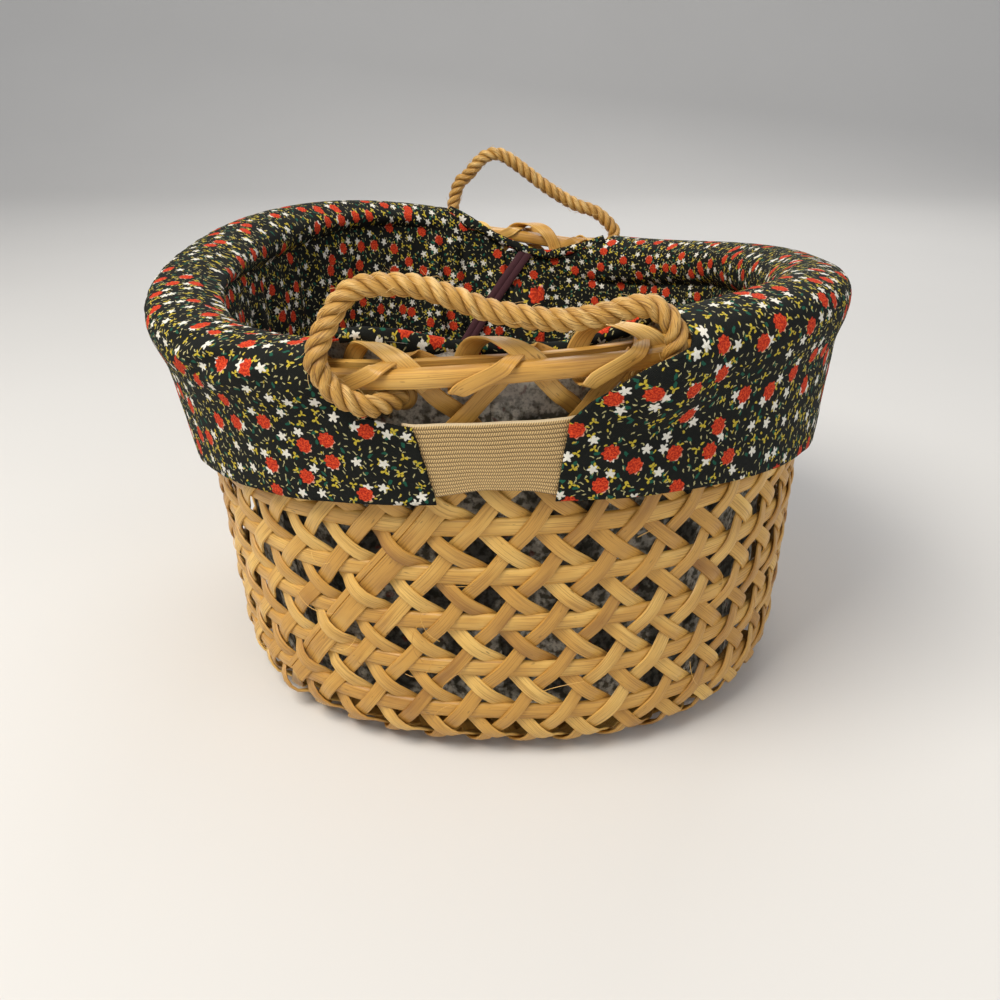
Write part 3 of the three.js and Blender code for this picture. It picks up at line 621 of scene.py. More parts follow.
REED = [(0.88, -1), (1, -0.4), (0.93, 0.55), (0.5, 1)]
HALF_ROUND = [(0.9, -1), (1, -0.75), (0.96, 0.1), (0.74, 0.75), (0.3, 1)]


def wide_section():
    """A broad strip with a split along it, nearer to one edge."""
    w, t, split = WIDE_WIDTH / 2, 0.4, 0.25 * WIDE_WIDTH
    return np.array([(-w, -0.4 * t), (-0.9 * w, -t), (0.9 * w, -t), (w, -0.4 * t), (0.95 * w, 0.5 * t),
                     (0.8 * w, t), (split + 0.25, t), (split, 0), (split - 0.25, t), (-0.7 * w, t),
                     (-0.95 * w, 0.5 * t)])


def cane_piece(build, name, *nodes):
    settle(build.make(name, [cane]), "cane", *nodes)


# Weave: strips leaning right go over the hoops, strips leaning left go behind them and over between

SAMPLES_PER_ROW = 9
WOVEN = {1: (0.75, 1.1), -1: (-0.35, -1.65)}  # a strip's way out and its swing, by lean
LAYER = 0.7  # way out of a strip in the rim, and its swing under the base
UNDER_OUT = 1.5  # way out of both leans under the base
WIDE_ROOM = 0.8  # by which the strip under the wide one lies deeper
WIDE_LIFT = 1.7  # of the strips that cross over the wide one
WIDE_REACH = 11.0


def strip_levels(low, high):
    return np.linspace(low, high, round((high - low) / HOOP_PITCH * SAMPLES_PER_ROW) + 1)


def rows_at(levels):
    return (levels - HOOP_LEVELS[-1]) / HOOP_PITCH


def strip_share(index, lean, levels):
    rows = rows_at(levels) + CROSSING_ROW
    low, high = LEANS[lean]
    return (index + rows * np.where(rows > 0, high, low)) / STRIPS


def over_and_under(levels, lean):
    wave = np.cos(math.tau * rows_at(levels))
    middle, swing = WOVEN[lean]
    at_rim = smooth(levels, BAND_LEVEL - 11, BAND_LEVEL - 3)
    under = 1 - smooth(levels, WALL_FOOT - TURN_LENGTH, WALL_FOOT)
    offset = (middle + swing * wave) * (1 - under) + (UNDER_OUT + LAYER * lean * np.sign(wave)) * under
    return offset * (1 - at_rim) + LAYER * lean * at_rim


def weave_strips(name, lean, node):
    build = Build()
    foot = WALL_FOOT - TURN_LENGTH - UNDER_BASE
    for index in range(STRIPS):
        long = (index % 2 == 0) == (lean > 0)
        levels = strip_levels(foot, BAND_LEVEL + 1 if long else SHORT_STRIP_TOP)
        share = strip_share(index, lean, levels) + waver(levels, 60, 1.3) / RIM_LENGTH
        offset = over_and_under(levels, lean) + waver(levels, 40, 0.25)
        if lean > 0 and index == WIDE_STRIP % STRIPS:
            offset = offset - WIDE_ROOM
        if lean < 0:
            apart = (share - strip_share(WIDE_STRIP, 1, levels) + 0.5) % 1 - 0.5
            between = smooth(-np.cos(math.tau * rows_at(levels)), -0.3, 0.4)
            offset = offset + WIDE_LIFT * bell(apart * RIM_LENGTH, 0, WIDE_REACH) * between
        width = rng.uniform(0.77, 0.93) * (1 + waver(levels, 50, 0.06))
        tone = rng.uniform(0.36, 0.86) + waver(levels, 70, 0.12)
        build.laid(share, levels, offset, section_of(REED, STRIP_WIDTH, STRIP_THICK), tone, width=width)
    cane_piece(build, name, node)


def wide_strip():
    """One strip that is much wider than the rest, laid over its neighbour."""
    build = Build()
    levels = strip_levels(*WIDE_LEVELS)
    share = strip_share(WIDE_STRIP, 1, levels) + waver(levels, 45, 0.4) / RIM_LENGTH
    offset = 0.6 * over_and_under(levels, 1) + 0.9
    build.laid(share, levels, offset, wide_section(), 0.52 + waver(levels, 40, 0.1))
    cane_piece(build, "strip_wide", "strip_doubled")


HOOP_SAMPLES = 240
SCARF = 0.035  # share of the way round over which a hoop's two tapered ends overlap


def hoop(name, node, level, offset, section, start, wander, tone):
    """A hoop of one length of cane whose ends are shaved thin and overlap."""
    build = Build()
    part = np.linspace(0, 1 + SCARF, HOOP_SAMPLES)
    share = start + part
    shaved_start = 1 - smooth(part, 0, SCARF)
    shaved_end = smooth(part, 1, 1 + SCARF)
    thick = 1 - 0.85 * np.maximum(shaved_start, shaved_end)
    half = np.abs(section[:, 1]).max()
    run = part * RIM_LENGTH
    heights = level + waver(run, 120, wander)
    offsets = offset + 0.8 * half * (shaved_end - shaved_start) + waver(run, 90, 0.2)
    tones = tone + waver(run, 80, 0.16)
    build.laid(share, heights, offsets, section, tones, thick=thick)
    cane_piece(build, name, node)


def hoops():
    section = section_of(HALF_ROUND, HOOP_WIDTH, HOOP_THICK)
    for i, level in enumerate(HOOP_LEVELS, 1):
        start, tone = rng.uniform(0.2, 0.8), rng.uniform(0.4, 0.7)
        hoop(f"weave_hoop_{i}", f"hoop_{i}", level, 0, section, start, 1.1, tone)


# Rim: two hoops, the lashing that winds round them, and the strip ends turned over the inner one

def rim_hoops():
    section = section_of(HALF_ROUND, RIM_HOOP_HEIGHT, RIM_HOOP_THICK)
    for name, side, node in (("rim_hoop_outside", 1, "rim_outer"), ("rim_hoop_inside", -1, "rim_inner")):
        hoop(name, node, BAND_LEVEL, side * RIM_MIDDLE, section * side, 0.3, 0.5, 0.5)


# A spline's stations weigh a gap between strips and a turn of the face as so many millimetres
LASHING_SCALE = 18.5
FACE_SCALE = 3
LASH_OUT = RIM_MIDDLE + RIM_HOOP_THICK / 2 + LASHING_THICK
LASH_TOP = RIM_HEIGHT + LASHING_THICK
LASH_BOTTOM = RIM_HEIGHT - RIM_HOOP_HEIGHT - LASHING_THICK
# One wrap: share of its pitch, way out, height, and the way its face looks
LASHING_WRAP = [
    (0.00, 0.9, LASH_BOTTOM - 0.4, 0.7, -0.7),
    (0.07, 1.0, LASH_BOTTOM + 1.5, 1, 0),
    (0.34, 1.0, LASH_TOP - 1.5, 1, 0),
    (0.42, 0.8, LASH_TOP + 0.3, 0.5, 0.9),
    (0.50, 0.0, LASH_TOP + 0.8, 0, 1),
    (0.58, -0.8, LASH_TOP + 0.3, -0.5, 0.9),
    (0.66, -1.0, LASH_TOP - 1.5, -1, 0),
    (0.90, -1.0, LASH_BOTTOM + 1.5, -1, 0),
    (0.96, -0.7, LASH_BOTTOM - 0.4, -0.5, -0.9),
]


def rim_lashing():
    build = Build()
    stations = []
    for gap in range(0, STRIPS, LASHING_GAPS):
        for step, out, z, *face in LASHING_WRAP:
            at = LASHING_START + gap + step * LASHING_GAPS
            stations.append((at, out * LASH_OUT, z + rng.normal(0, 0.12), *face))
    stations.append((stations[0][0] + STRIPS, *stations[0][1:]))
    scales = [LASHING_SCALE, 1, 1, FACE_SCALE, FACE_SCALE]
    at, out, z, *face = (spline(np.array(stations) * scales, 1.6) / scales).T
    share = at / STRIPS
    section = section_of(REED, LASHING_WIDTH, LASHING_THICK)
    tone = 0.55 + waver(share * RIM_LENGTH, 60, 0.25)
    build.laid(share, z, out, section, tone, face)
    cane_piece(build, "rim_wrapping", "rim_lashing")


BARE_RIM = ((-0.03, 0.062), (0.466, 0.533))  # ways round between the cuffs
# A turned-over end: way along the rim from where it comes up, way out, height, and its face
TURNED_END = [
    (5.5, 2.0, 143.5, 1, 0.1),
    (1.0, 2.0, 149.0, 1, 0.1),
    (-2.0, 1.6, 152.2, 0.8, 0.5),
    (-6.5, -0.5, 155.0, 0.3, 1),
    (-12.0, -4.5, 156.0, -0.2, 1),
    (-17.5, -8.2, 154.0, -0.7, 0.7),
    (-21.0, -9.4, 149.5, -1, 0),
    (-23.0, -9.4, 144.0, -1, 0),
]


def turned_ends():
    """Every second strip that leans left comes up in the rim and is turned in over its inner hoop."""
    build = Build()
    section = section_of(REED, STRIP_WIDTH, STRIP_THICK)
    scales = np.array([[1, 1, 1, FACE_SCALE, FACE_SCALE]]).T
    for index in range(1, STRIPS, 2):
        base = strip_share(index, -1, RIM_HEIGHT) * RIM_LENGTH + 4
        around = (base / RIM_LENGTH + 0.25) % 1 - 0.25
        bare = any(low < around < high for low, high in BARE_RIM)
        rise = rng.uniform(-0.6, 0.5)
        stretch = rng.uniform(0.9, 1.12)
        stand = 1.0 if bare else 0.3
        along, out, z, *face = np.array(TURNED_END).T * scales
        z = np.where(z > RIM_HEIGHT, RIM_HEIGHT + (z + rise - RIM_HEIGHT) * stand, z)
        along, out, z, *face = spline(np.stack([along * stretch, out, z, *face], -1), 1.2).T
        width = rng.uniform(0.85, 1.05)
        build.laid((base + along) / RIM_LENGTH, z, out, section, rng.uniform(0.45, 0.85), face, width=width)
    cane_piece(build, "rim_turned_ends")


# Base: two ways of strips woven through each other inside an oval border

def base():
    build = Build()
    inset = FLOOR_INSET - CORNER_RADIUS * math.sin(0.35 * TURN)
    reach = half_sizes(inset + BASE_MARGIN)[::-1]
    for lean in (-1, 1):
        c, s = math.cos(lean * BASE_TURN), math.sin(lean * BASE_TURN)
        way, aside, other = np.array([(c, s), (-s, c), (s, c)])
        for k in range(-BASE_COUNT, BASE_COUNT + 1):
            run = np.linspace(-BASE_REACH, BASE_REACH, 241)
            flat = run[:, None] * way + k * BASE_STRIP_PITCH * aside
            flat = flat[(np.abs(flat / reach) ** PLAN_POWER).sum(1) < 1]
            if len(flat) < 8:
                continue
            cross = flat @ other / BASE_STRIP_PITCH
            wave = np.cos(math.pi * (cross + k)) * lean
            path = np.column_stack([flat, BASE_LEVEL + BASE_WAVE * wave])
            section = section_of(REED, BASE_STRIP_WIDTH * rng.uniform(0.9, 1.05), BASE_STRIP_THICK)
            build.strip(path, DOWN, section, rng.uniform(0.3, 0.7))
    share = np.linspace(0, 1, 200, endpoint=False)
    angle = np.interp(share * RIM_LENGTH, PLAN_LENGTHS, PLAN_ANGLES)
    x, y = plan_at(angle, *half_sizes(inset + BASE_RING))
    path = np.column_stack([x, y, np.full_like(x, BASE_RING_LEVEL)])
    build.strip(path, DOWN, section_of(HALF_ROUND, BASE_RING * 0.7, 1.0), 0.45, ring=True)
    cane_piece(build, "base_lattice", "base_weave")


# Cloth

def cloth(name, middle, grid_map, materials, thick=CLOTH_THICK, facing=1, crease=60):
    """A sheet with a face, a reverse and edges, from the grid of its middle points."""
    build = Build()
    rise, across = np.gradient(middle, axis=(0, 1))
    normal = unit(np.cross(across, rise)) * facing
    face, back = middle + normal * thick / 2, middle - normal * thick / 2
    build.grid(face, grid_map)
    build.grid(back, grid_map, slot=len(materials) - 1)
    for edge in (np.s_[0], np.s_[-1], np.s_[:, 0], np.s_[:, -1]):
        rim = np.stack([face[edge], back[edge]])
        build.grid(rim, np.stack([grid_map[edge], grid_map[edge]]))
    piece = build.make(name, materials, crease)
    clean(piece.data, join=True)
    return piece


# From the middle of an end to the cuff's edge, by height: along the elastic, and then for each cuff
NOTCH_FOOT = [(HEM_AT_ENDS, ELASTIC_HALF_BOTTOM), (ELASTIC_TOP, ELASTIC_HALF_TOP)]
NOTCHES = {
    ("right", "near"): [(138.8, 27.6), (142.9, 32.5), (146.8, 37.1), (150.4, 41.6), (152.6, 47.4),
                        (153.6, 53), (157, 57)],
    ("left", "near"): [(134.6, 29), (136.3, 35), (140, 38.5), (144, 42), (148, 45.5), (154.6, 47.5),
                       (157, 48)],
    ("right", "far"): [(135.5, 54), (144, 60), (150, 61.5), (156, 61.5)],
    ("left", "far"): [(135.5, 32.5), (144, 32), (150, 31.5), (156, 30.5)],
}
# The same for the liner's edge inside the rim
INNER_EDGES = {
    ("right", "near"): [(145.5, -0.6), (147.4, 22), (149.4, 38), (153, 49), (156.8, 57)],
    ("left", "near"): [(146.5, 0.2), (150, 8), (151.6, 16), (154.8, 30), (157, 48)],
    ("right", "far"): [(140, -0.6), (141.5, 30), (146.5, 42), (150.5, 52.6), (156.8, 61.5)],
    ("left", "far"): [(142.5, 0.2), (146.5, 4.4), (151.5, 15), (157, 30.5)],
}
# The rolled edge there, as (way along the end, height, way out)
ROLLS = {
    "near": [(-48, 157.6, -7), (-40, 157.4, -10), (-29, 155.2, -12), (-16, 152, -12.6),
             (-8, 150.6, -12.6), (13, 148.7, -12.6), (22, 147.9, -12.6), (31, 148.7, -12.6),
             (39, 150, -12.4), (49, 153.4, -11), (57, 156.2, -8)],
    "far": [(-30, 157.2, -7), (-22, 154.6, -10.5), (-15, 151.6, -12.2), (-4.4, 146.6, -12.6),
            (9, 142.4, -12.6), (20, 140.6, -12.6), (30, 141.6, -12.6), (42, 146.6, -12.6),
            (52, 150.4, -11.8), (60, 154.4, -9.4)],
}
ROLL_RADIUS = 2.3
ROLL_SIDES = 18
ROLL_FOOT = 148.6  # the roll reaches down to here behind the rim


def cloth_edge(level, outside, side, end):
    """Way round from the middle of an end to the liner's edge, at each height inside and outside."""
    notch = np.interp(level, *zip(*NOTCH_FOOT, *NOTCHES[side, end]))
    inner = np.interp(level, *zip(*INNER_EDGES[side, end]))
    return np.where(outside, notch, inner) / RIM_LENGTH


def rolled_edge(end):
    """The liner's top edge between its two halves, rolled over with the print outside."""
    build = Build()
    along, z, out = spline(ROLLS[end], 1.2).T
    drop = np.maximum(z - ROLL_RADIUS - ROLL_FOOT, 0) * smooth(-out, 9.5, 12) / 2
    z = z - drop
    share = share_at(along, end)
    path = wall(share, z, out)
    ahead = unit(np.gradient(path, axis=0))
    side = unit(np.cross(ahead, wall_out(share, z, out)))
    lift = np.cross(side, ahead)
    spin = spins(ROLL_SIDES)
    radius = (ROLL_RADIUS + waver(along, 26, 0.3))[:, None] + waver(along[:, None] + 4 * spin, 9, 0.18)
    points = tube_points(path, side, lift, radius + drop[:, None], radius)
    around = np.linspace(0, math.tau * ROLL_RADIUS, ROLL_SIDES + 1)
    build.grid(points, map_of(along + 250, around), tube=True, caps=True)
    piece = build.make(f"liner_rolled_edge_{end}", [printed], crease=60)
    settle(piece, "liner_print")
    return piece


# (height, way out) from the liner's foot up, over the rim and down to the hem
LINER_PROFILE = [
    (LINER_FOOT, -LINER_SET_IN), (60, -LINER_SET_IN), (110, -LINER_SET_IN), (143, -LINER_SET_IN),
    (LINER_TOP, -LINER_SET_IN + 0.2), (CREST - 1.6, -LINER_SET_IN + 2.4), (CREST, -3.5),
    (CREST, 3.5), (CREST - 1.8, CUFF_OUT - 2.4), (RIM_HEIGHT, CUFF_OUT + 0.6),
    (RIM_HEIGHT - RIM_HOOP_HEIGHT, CUFF_OUT + 0.3), (ELASTIC_TOP + 1, CUFF_FULL_OUT + 0.4),
    ((HEM_AT_ENDS + ELASTIC_TOP) / 2, CUFF_END_OUT), (HEM_AT_ENDS, CUFF_HEM_OUT),
]
CLOTH_COLUMNS = 260


def liner_side(side, extras):
    profile = spline(LINER_PROFILE, 1.5)
    level, offset = profile.T[..., None]
    run = lengths(profile)[:, None]
    outside = np.arange(len(level))[:, None] > np.argmax(level)
    near, far = (cloth_edge(level, outside, side, end) for end in ("near", "far"))
    share = near + (0.5 - far - near) * np.linspace(0, 1, CLOTH_COLUMNS)
    if side == "left":
        share = 1 - share
    z = np.broadcast_to(level, share.shape)
    hang = (ELASTIC_TOP - z) / (ELASTIC_TOP - HEM_AT_ENDS)
    hem = HEM_AT_ENDS + (HEM_AT_SIDES - HEM_AT_ENDS) * np.sin(share * math.tau) ** 2
    z = np.where(outside & (hang > 0), ELASTIC_TOP - hang * (ELASTIC_TOP - hem), z)
    along = share * RIM_LENGTH
    out = offset + wrinkles(along, run, z, outside, share)
    if side == "right":
        out = out + rope_bulge(along, z) * outside
        z = z - FAR_RIGHT_DROP * smooth(share, 0.1, 0.4) * smooth(z, 146, 156)
    else:
        out = out - rope_press(along - RIM_LENGTH, z) * outside
    middle = wall(share, np.maximum(z, WALL_FOOT), out)
    middle[..., 2] += np.minimum(z - WALL_FOOT, 0)
    grid_map = np.stack([along, np.broadcast_to(run, share.shape)], -1)
    piece = cloth(f"liner_{side}", middle, grid_map, [printed, reverse], facing=1 if side == "left" else -1)
    settle(piece, "liner_print", f"liner_wall_{side}", f"cuff_{side}")


FAR_RIGHT_DROP = 2.0  # how much flatter the cloth lies over the rim at the far right
CREASE_LEVELS = {"left": 144.0, "right": 132.0}


def rope_bulge(along, z):
    """The right cuff goes over the end of the near rope."""
    return 7.4 * bell(along, 48, 13) * smooth(z, 125, 138) * (1 - smooth(z, 153, 158))


def rope_press(along, z):
    """The left cuff lies pressed to the rim under the near rope."""
    return 3.1 * bell(along, -42, 9) * smooth(z, 133, 141)


def inner_roll(share, z):
    """Inside the rim the cloth hangs in a loose roll that ends in a crease."""
    right = (share % 1) < 0.5
    crease = np.where(right, CREASE_LEVELS["right"], CREASE_LEVELS["left"]) + 3 * np.sin(share * 25)
    part = np.clip((z - crease) / (CREST - 3 - crease), 0, 1)
    clear = smooth(from_end(share), 20, 75)
    full = np.sin(math.pi * part) ** 0.5 * np.where(right, 5.2, 4.2)
    groove = bell(z, crease, 1.6)
    return (groove - full) * clear


def wrinkles(along, run, z, outside, share):
    """How far the cloth stands in or out of its plain shape."""
    inner = smooth(z, LINER_FOOT, 40) * (1 - smooth(z, 120, 148))
    loose = waver(along + 0.25 * z, 34, 1.0) + waver(along - 0.4 * z, 19, 0.6)
    folds = np.where(outside, 0, inner * 2.2 * loose + inner_roll(share, z))
    roll = smooth(z, 146, 154)
    pinch = roll * (waver(along + 0.9 * run, 13, 0.55) + waver(along - 0.5 * run, 7, 0.35))
    hang = np.where(outside, 1 - smooth(z, 138, 150), 0)
    soft = hang * (waver(along + 0.3 * z, 52, 0.55) + waver(along + 1.2 * z, 21, 0.25))
    pulled = hang * np.exp(-np.maximum(from_end(share) - 20, 0) / 14)
    pulled = pulled * 0.4 * np.sin(math.tau * (z + 0.1 * along) / 8.5)
    corner = bell(share % 1, 0.9, 0.035) * smooth(z, 138, 148)
    slanted = np.sin(math.tau * (0.45 * along + run) / 13)
    corner = corner * (1.3 * slanted + waver(run - 0.3 * along, 8, 0.8))
    return folds + pinch + soft + pulled + corner + pleats(share, z) * ~outside


PLEATS = (0.5293, 0.5434)  # upright folds of the far wall, as ways round


def pleats(share, z):
    tall = smooth(z, 30, 60) * (1 - smooth(z, 138, 146))
    total = 0
    for at in PLEATS:
        apart = ((share % 1) - at) * RIM_LENGTH
        total = total + 1.6 * bell(apart, 0, 1.8) - 2.4 * bell(apart, 4.5, 2.6)
    return total * tall


def liner_floor():
    inset = wall_inset(WALL_FOOT) + LINER_SET_IN - 0.3
    angle = np.linspace(0, math.tau, 121)
    rings = np.linspace(0.004, 1, 46)[:, None]
    x, y = (rings * v for v in plan_at(angle, *half_sizes(inset)))
    z = LINER_FLOOR + waver(x + 0.4 * y, 47, 0.35) + waver(y - 0.3 * x, 29, 0.25) + 0.5 * rings**6
    middle = np.stack([x, y, z], -1)
    piece = cloth("liner_bottom", middle, np.stack([x + 400, y + 500], -1), [printed, reverse], facing=-1)
    settle(piece, "liner_print", "liner_floor")


def elastics():
    for end in ("near", "far"):
        v = np.linspace(0, 1, ELASTIC_RIBS * 7 + 1)[:, None]
        u = np.linspace(-1, 1, 61)[None]
        half = ELASTIC_HALF_BOTTOM + (ELASTIC_HALF_TOP - ELASTIC_HALF_BOTTOM) * v + ELASTIC_TUCK
        bowed = ELASTIC_BOW * (1 - u**2) * (1 - v) ** 2
        z = ELASTIC_BOTTOM + bowed + (ELASTIC_TOP - ELASTIC_BOTTOM - bowed) * v
        rib = RIB_HEIGHT * np.abs(np.sin(math.pi * ELASTIC_RIBS * v)) ** 0.8
        waved = 0.25 * np.sin(u * 9 + v * 3)
        tucked = smooth(np.abs(u) * half, half - ELASTIC_TUCK - 1, half)
        along = half * u
        middle = wall(share_at(along, end), z, CUFF_HEM_OUT - 1.3 + 1.6 * v + rib + waved - tucked)
        grid_map = np.stack([along + 0 * z, v * ELASTIC_RIBS + 0 * along], -1)
        piece = cloth(f"elastic_band_{end}", middle, grid_map, [elastic], ELASTIC_THICK, crease=70)
        settle(piece, "elastic", f"elastic_{end}")


# Rope

def pivot(side, end):
    return wall(share_at(PIVOTS[end][side], end), PIVOT_LEVEL, PIVOT_OUT)


def end_points(side, end):
    start = PIVOTS[end][side]
    stop = PASS_GAPS[side] * RIM_LENGTH / STRIPS
    along, up, out = np.array(END_ROUTE).T
    share = share_at(start + (stop - start) * along, end)
    level = PASS_LEVEL + (PIVOT_LEVEL - PASS_LEVEL) * up
    return list(wall(share, level, PASS_DEPTH + (PIVOT_OUT - PASS_DEPTH) * out))


def rope_path(end):
    left, right = pivot("left", end), pivot("right", end)
    middle, half = (left + right) / 2, (right - left) / 2
    rise = np.array([0, math.sin(ROPE_LEANS[end]), math.cos(ROPE_LEANS[end])])
    arch = [middle + half * share + rise * height for share, height in ARCHES[end]]
    points = end_points("left", end)[::-1] + [left] + arch + [right] + end_points("right", end)
    return spline(points, 1.0), left, right, rise


def carried_frames(path):
    """Directions across a path that turn with it and no more."""
    along = unit(np.gradient(path, axis=0))
    side = unit(np.cross(along[0], [0.3, 0.2, 1.0]))
    sides = []
    for t in along:
        side = unit(side - t * (side @ t))
        sides.append(side)
    sides = np.array(sides)
    return sides, np.cross(along, sides)


def strand(build, path, e1, e2, run, phase):
    turn = math.tau * run / ROPE_PITCH + phase
    out = np.cos(turn)[:, None] * e1 + np.sin(turn)[:, None] * e2
    middle = path + out * STRAND_OUT
    along = unit(np.gradient(middle, axis=0))
    side = unit(np.cross(along, out))
    spin = spins(STRAND_SIDES)
    radius = STRAND_RADIUS * (1 + waver(run, 30, 0.05) + waver(run, 6, 0.03))[:, None] + 0 * spin
    points = tube_points(middle, out, side, radius, radius)
    grid_map = map_of(run, np.linspace(0, 12, STRAND_SIDES + 1))
    grid_map[..., 1] += run[:, None] * FIBRE_TURN + 20 * phase
    # Painted shade: each strand darkens on the sides that face the other strands, in the grooves of the rope.
    tone = (0.66 + waver(run, 25, 0.2))[:, None] - 0.42 * (1 - np.cos(spin))
    build.grid(points, grid_map, tone, tube=True, caps=True)


def knot(build, at, e1, e2):
    """A turn of rope round the end, which stops it from pulling out."""
    steps, sides = 40, 12
    turn = spins(steps)
    out = np.cos(turn)[:, None] * e1 + np.sin(turn)[:, None] * e2
    axis = np.tile(np.cross(e1, e2), (steps, 1))
    thick = np.full((steps, sides), KNOT_THICK)
    points = tube_points(at + out * KNOT_RING, out, axis, thick, thick)
    grid_map = map_of(np.linspace(0, 20, steps + 1), np.linspace(0, 12, sides + 1))
    build.grid(points, grid_map, ring=True, tube=True)


def fuzz(build, path, e1, e2):
    """Fine ends of fibre that stand off the rope."""
    section = round_section(4, HAIR_RADIUS)
    for at in rng.integers(8, len(path) - 8, HAIRS):
        spin = rng.uniform(0, math.tau)
        out = math.cos(spin) * e1[at] + math.sin(spin) * e2[at]
        along = unit(path[at + 1] - path[at - 1]) * rng.choice([-1, 1])
        aside = np.cross(along, out) * rng.uniform(-1, 1)
        root = path[at] + out * (STRAND_OUT + STRAND_RADIUS - 0.5)
        reach = rng.uniform(2, 5.5)
        stations = [root + reach * s * (0.8 * along + 0.5 * aside * s) + out * (2.4 * s - 1.1 * s * s)
                    for s in np.linspace(0, 1, 5)]
        hair = spline(stations, 0.6)
        build.strip(hair, out, section, 0.9)


def rope_handle(end):
    path, left, right, rise = rope_path(end)
    e1, e2 = carried_frames(path)
    run = lengths(path)
    cut = len(path) // 2
    for side, part, at in (("left", np.s_[:cut + 1], left), ("right", np.s_[cut:], right)):
        build = Build()
        line = [v[part] for v in (path, e1, e2)]
        for k in range(3):
            strand(build, *line, run[part], math.tau * k / 3)
        fuzz(build, *line)
        knot(build, *(v[0 if side == "left" else -1] for v in line))
        piece = build.make(f"rope_{end}_{side}", [rope], crease=60)
        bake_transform(piece)
        nodes = [f"handle_{end}_end_{side}"] + ([f"handle_{end}"] if side == "left" else [])
        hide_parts(*nodes)


# Trim inside the liner

BINDING_FROM = (14, 142)  # way along the far end, and height
BINDING_TO = (-31, 80)
BINDING_WIDTH = 7.0
TAB_ALONG = 13.5


def binding():
    build = Build()
    along, z = np.linspace(BINDING_FROM, BINDING_TO, 60).T
    offset = -LINER_SET_IN - 2.2 + waver(z, 25, 0.4)
    w, h = BINDING_WIDTH / 2, 0.8
    section = np.array([(-w, 0.2), (-w, -0.3), (-w + 0.6, -h), (-0.5, -h), (0, -h + 0.3), (0.5, -h),
                        (w - 0.6, -h), (w, -0.3), (w, 0.2), (0, 0.3)])
    build.laid(share_at(along, "far"), z, offset, section)
    settle(build.make("liner_edge_tape", [tape], crease=50), "binding", "liner_binding")


def tab():
    """A short end of cloth that stands up behind the rim, with a frayed top."""
    v = np.linspace(0, 1, 22)[:, None]
    u = np.linspace(-1, 1, 19)[None]
    along = TAB_ALONG + u * (4.2 + 1.4 * v)
    ragged = 1 - 0.10 * np.abs(np.sin(u * 6.1 + 0.7)) - 0.05 * np.sin(u * 15)
    z = LINER_TOP - 7.0 + 23.0 * v * ragged
    offset = -LINER_SET_IN - 2.2 - 3 * v**2 + 1.3 * np.sin(u * 2.6 + 1) * v
    middle = wall(share_at(along, "near"), z, offset)
    piece = cloth("liner_loose_end", middle, np.stack([along + 700 + 0 * z, z + 0 * along], -1), [printed])
    settle(piece, "liner_print", "liner_tab")
    return piece


# Fine fibres that have come loose from the cane

LOOSE_FIBRES = 26
FIBRE_RADIUS = 0.12


def loose_fibres():
    build = Build()
    section = round_section(6, FIBRE_RADIUS)
    for _ in range(LOOSE_FIBRES):
        share = rng.uniform(-0.14, 0.14) + rng.choice([0, 0, 0.5])
        level = rng.uniform(24, 104)
        reach = rng.uniform(6, 17)
        tilt = rng.uniform(0, math.tau)
        curl = rng.uniform(-0.5, 0.5)
        t = np.linspace(0, 1, 6)
        turn = tilt + curl * t * 2
        stations = np.stack([share * RIM_LENGTH + reach * t * np.cos(turn), level + reach * t * np.sin(turn),
                             2.2 + 2.2 * np.sin(math.pi * t * 0.8)], -1)
        along, z, out = spline(stations, 0.8).T
        build.laid(along / RIM_LENGTH, z, out, section, rng.uniform(0.4, 0.9))
    cane_piece(build, "loose_fibres")


# Stage: floor, light and camera

WORLD_COLOR = (0.93, 0.95, 1.0, 1)
WORLD_STRENGTH = 0.45


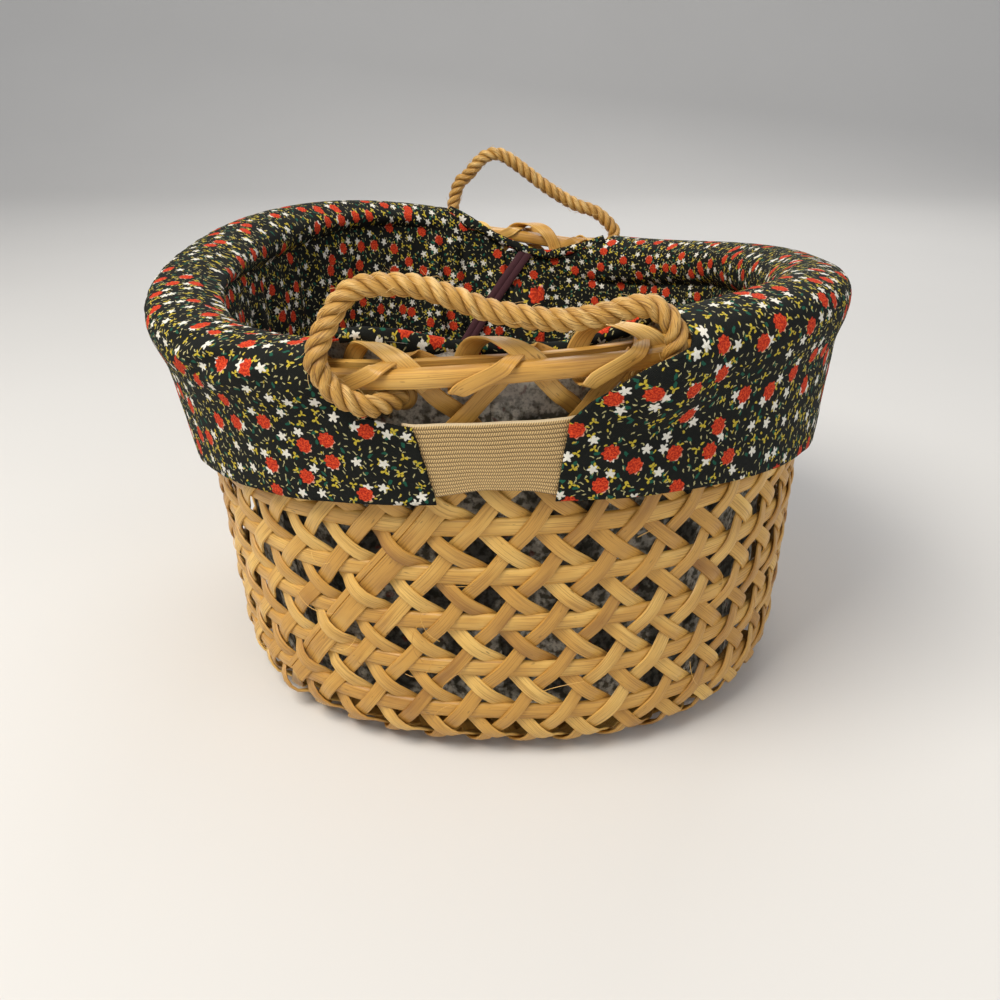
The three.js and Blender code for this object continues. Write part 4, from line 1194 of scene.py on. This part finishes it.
def stage():
    mesh = bpy.data.meshes.new("floor")
    half, back_at, bend, top = 5.0, 1.5, 1.0, 3.0
    turn = np.linspace(0, math.pi / 2, 25)
    profile = [(-half, 0.0)]
    profile += [(back_at + bend * math.sin(t), bend * (1 - math.cos(t))) for t in turn]
    profile.append((back_at + bend, top))
    points = [(x, y, z) for y, z in profile for x in (-half, half)]
    faces = [(2 * i, 2 * i + 1, 2 * i + 3, 2 * i + 2) for i in range(len(profile) - 1)]
    mesh.from_pydata(points, [], faces)
    mesh.shade_smooth()
    floor = linked("floor", mesh)
    s = Shader("pale_floor", Roughness=0.7, Specular_IOR_Level=0.2)
    tint = s.noise(scale=3.0, detail=2.0, vector=s.node("TexCoord").outputs["Object"])
    s.plug(s.surface, "Base Color", s.mix(tint, (0.66, 0.65, 0.63, 1), (0.70, 0.69, 0.67, 1)))
    mesh.materials.append(s.material)

    world = bpy.data.worlds.new("studio")
    bpy.context.scene.world = world
    world.use_nodes = True
    back = world.node_tree.nodes["Background"].inputs
    back["Color"].default_value = WORLD_COLOR
    back["Strength"].default_value = WORLD_STRENGTH


def placed(holder, at, ahead):
    """Stands a lamp or a camera at a point, looking ahead."""
    side = unit(np.cross(ahead, [0, 0, 1]))
    up = np.cross(side, ahead)
    rows = [[side[k], up[k], -ahead[k], at[k]] for k in range(3)]
    holder.matrix_world = Matrix(rows + [[0, 0, 0, 1]])


# Each lamp: its place and size in metres, its power in watts and its colour
LAMPS = {
    "key": ((-0.55, -0.55, 1.15), 0.7, 18, (1.0, 0.95, 0.87)),
    "fill": ((1.2, -1.0, 0.8), 1.2, 5, (0.95, 0.97, 1.0)),
    "back": ((0.3, 1.3, 1.1), 1.0, 8, (1.0, 0.98, 0.95)),
}
LAMP_AIM = (0, 0, 0.1)


def lamps():
    for name, (at, size, power, color) in LAMPS.items():
        light = bpy.data.lights.new(name, "AREA")
        light.size = size
        light.energy = power
        light.color = color
        placed(linked(name, light), at, unit(np.subtract(LAMP_AIM, at)))


def camera():
    level = math.cos(CAMERA_PITCH)
    ahead = [math.sin(CAMERA_YAW) * level, math.cos(CAMERA_YAW) * level, -math.sin(CAMERA_PITCH)]
    lens = bpy.data.cameras.new("camera")
    lens.lens = CAMERA_LENS
    lens.sensor_width = SENSOR
    lens.clip_start = 0.01
    holder = linked("camera", lens)
    placed(holder, np.array(CAMERA_AT) * MM, ahead)
    bpy.context.scene.camera = holder


camera()
stage()
lamps()

weave_strips("weave_right", 1, "strips_right")
weave_strips("weave_left", -1, "strips_left")
wide_strip()
hoops()
rim_hoops()
rim_lashing()
turned_ends()
base()
liner_side("left", [rolled_edge("near"), tab()])
liner_side("right", [rolled_edge("far")])
liner_floor()
elastics()
binding()
rope_handle("near")
rope_handle("far")
loose_fibres()

bpy.context.scene.view_settings.view_transform = "Standard"
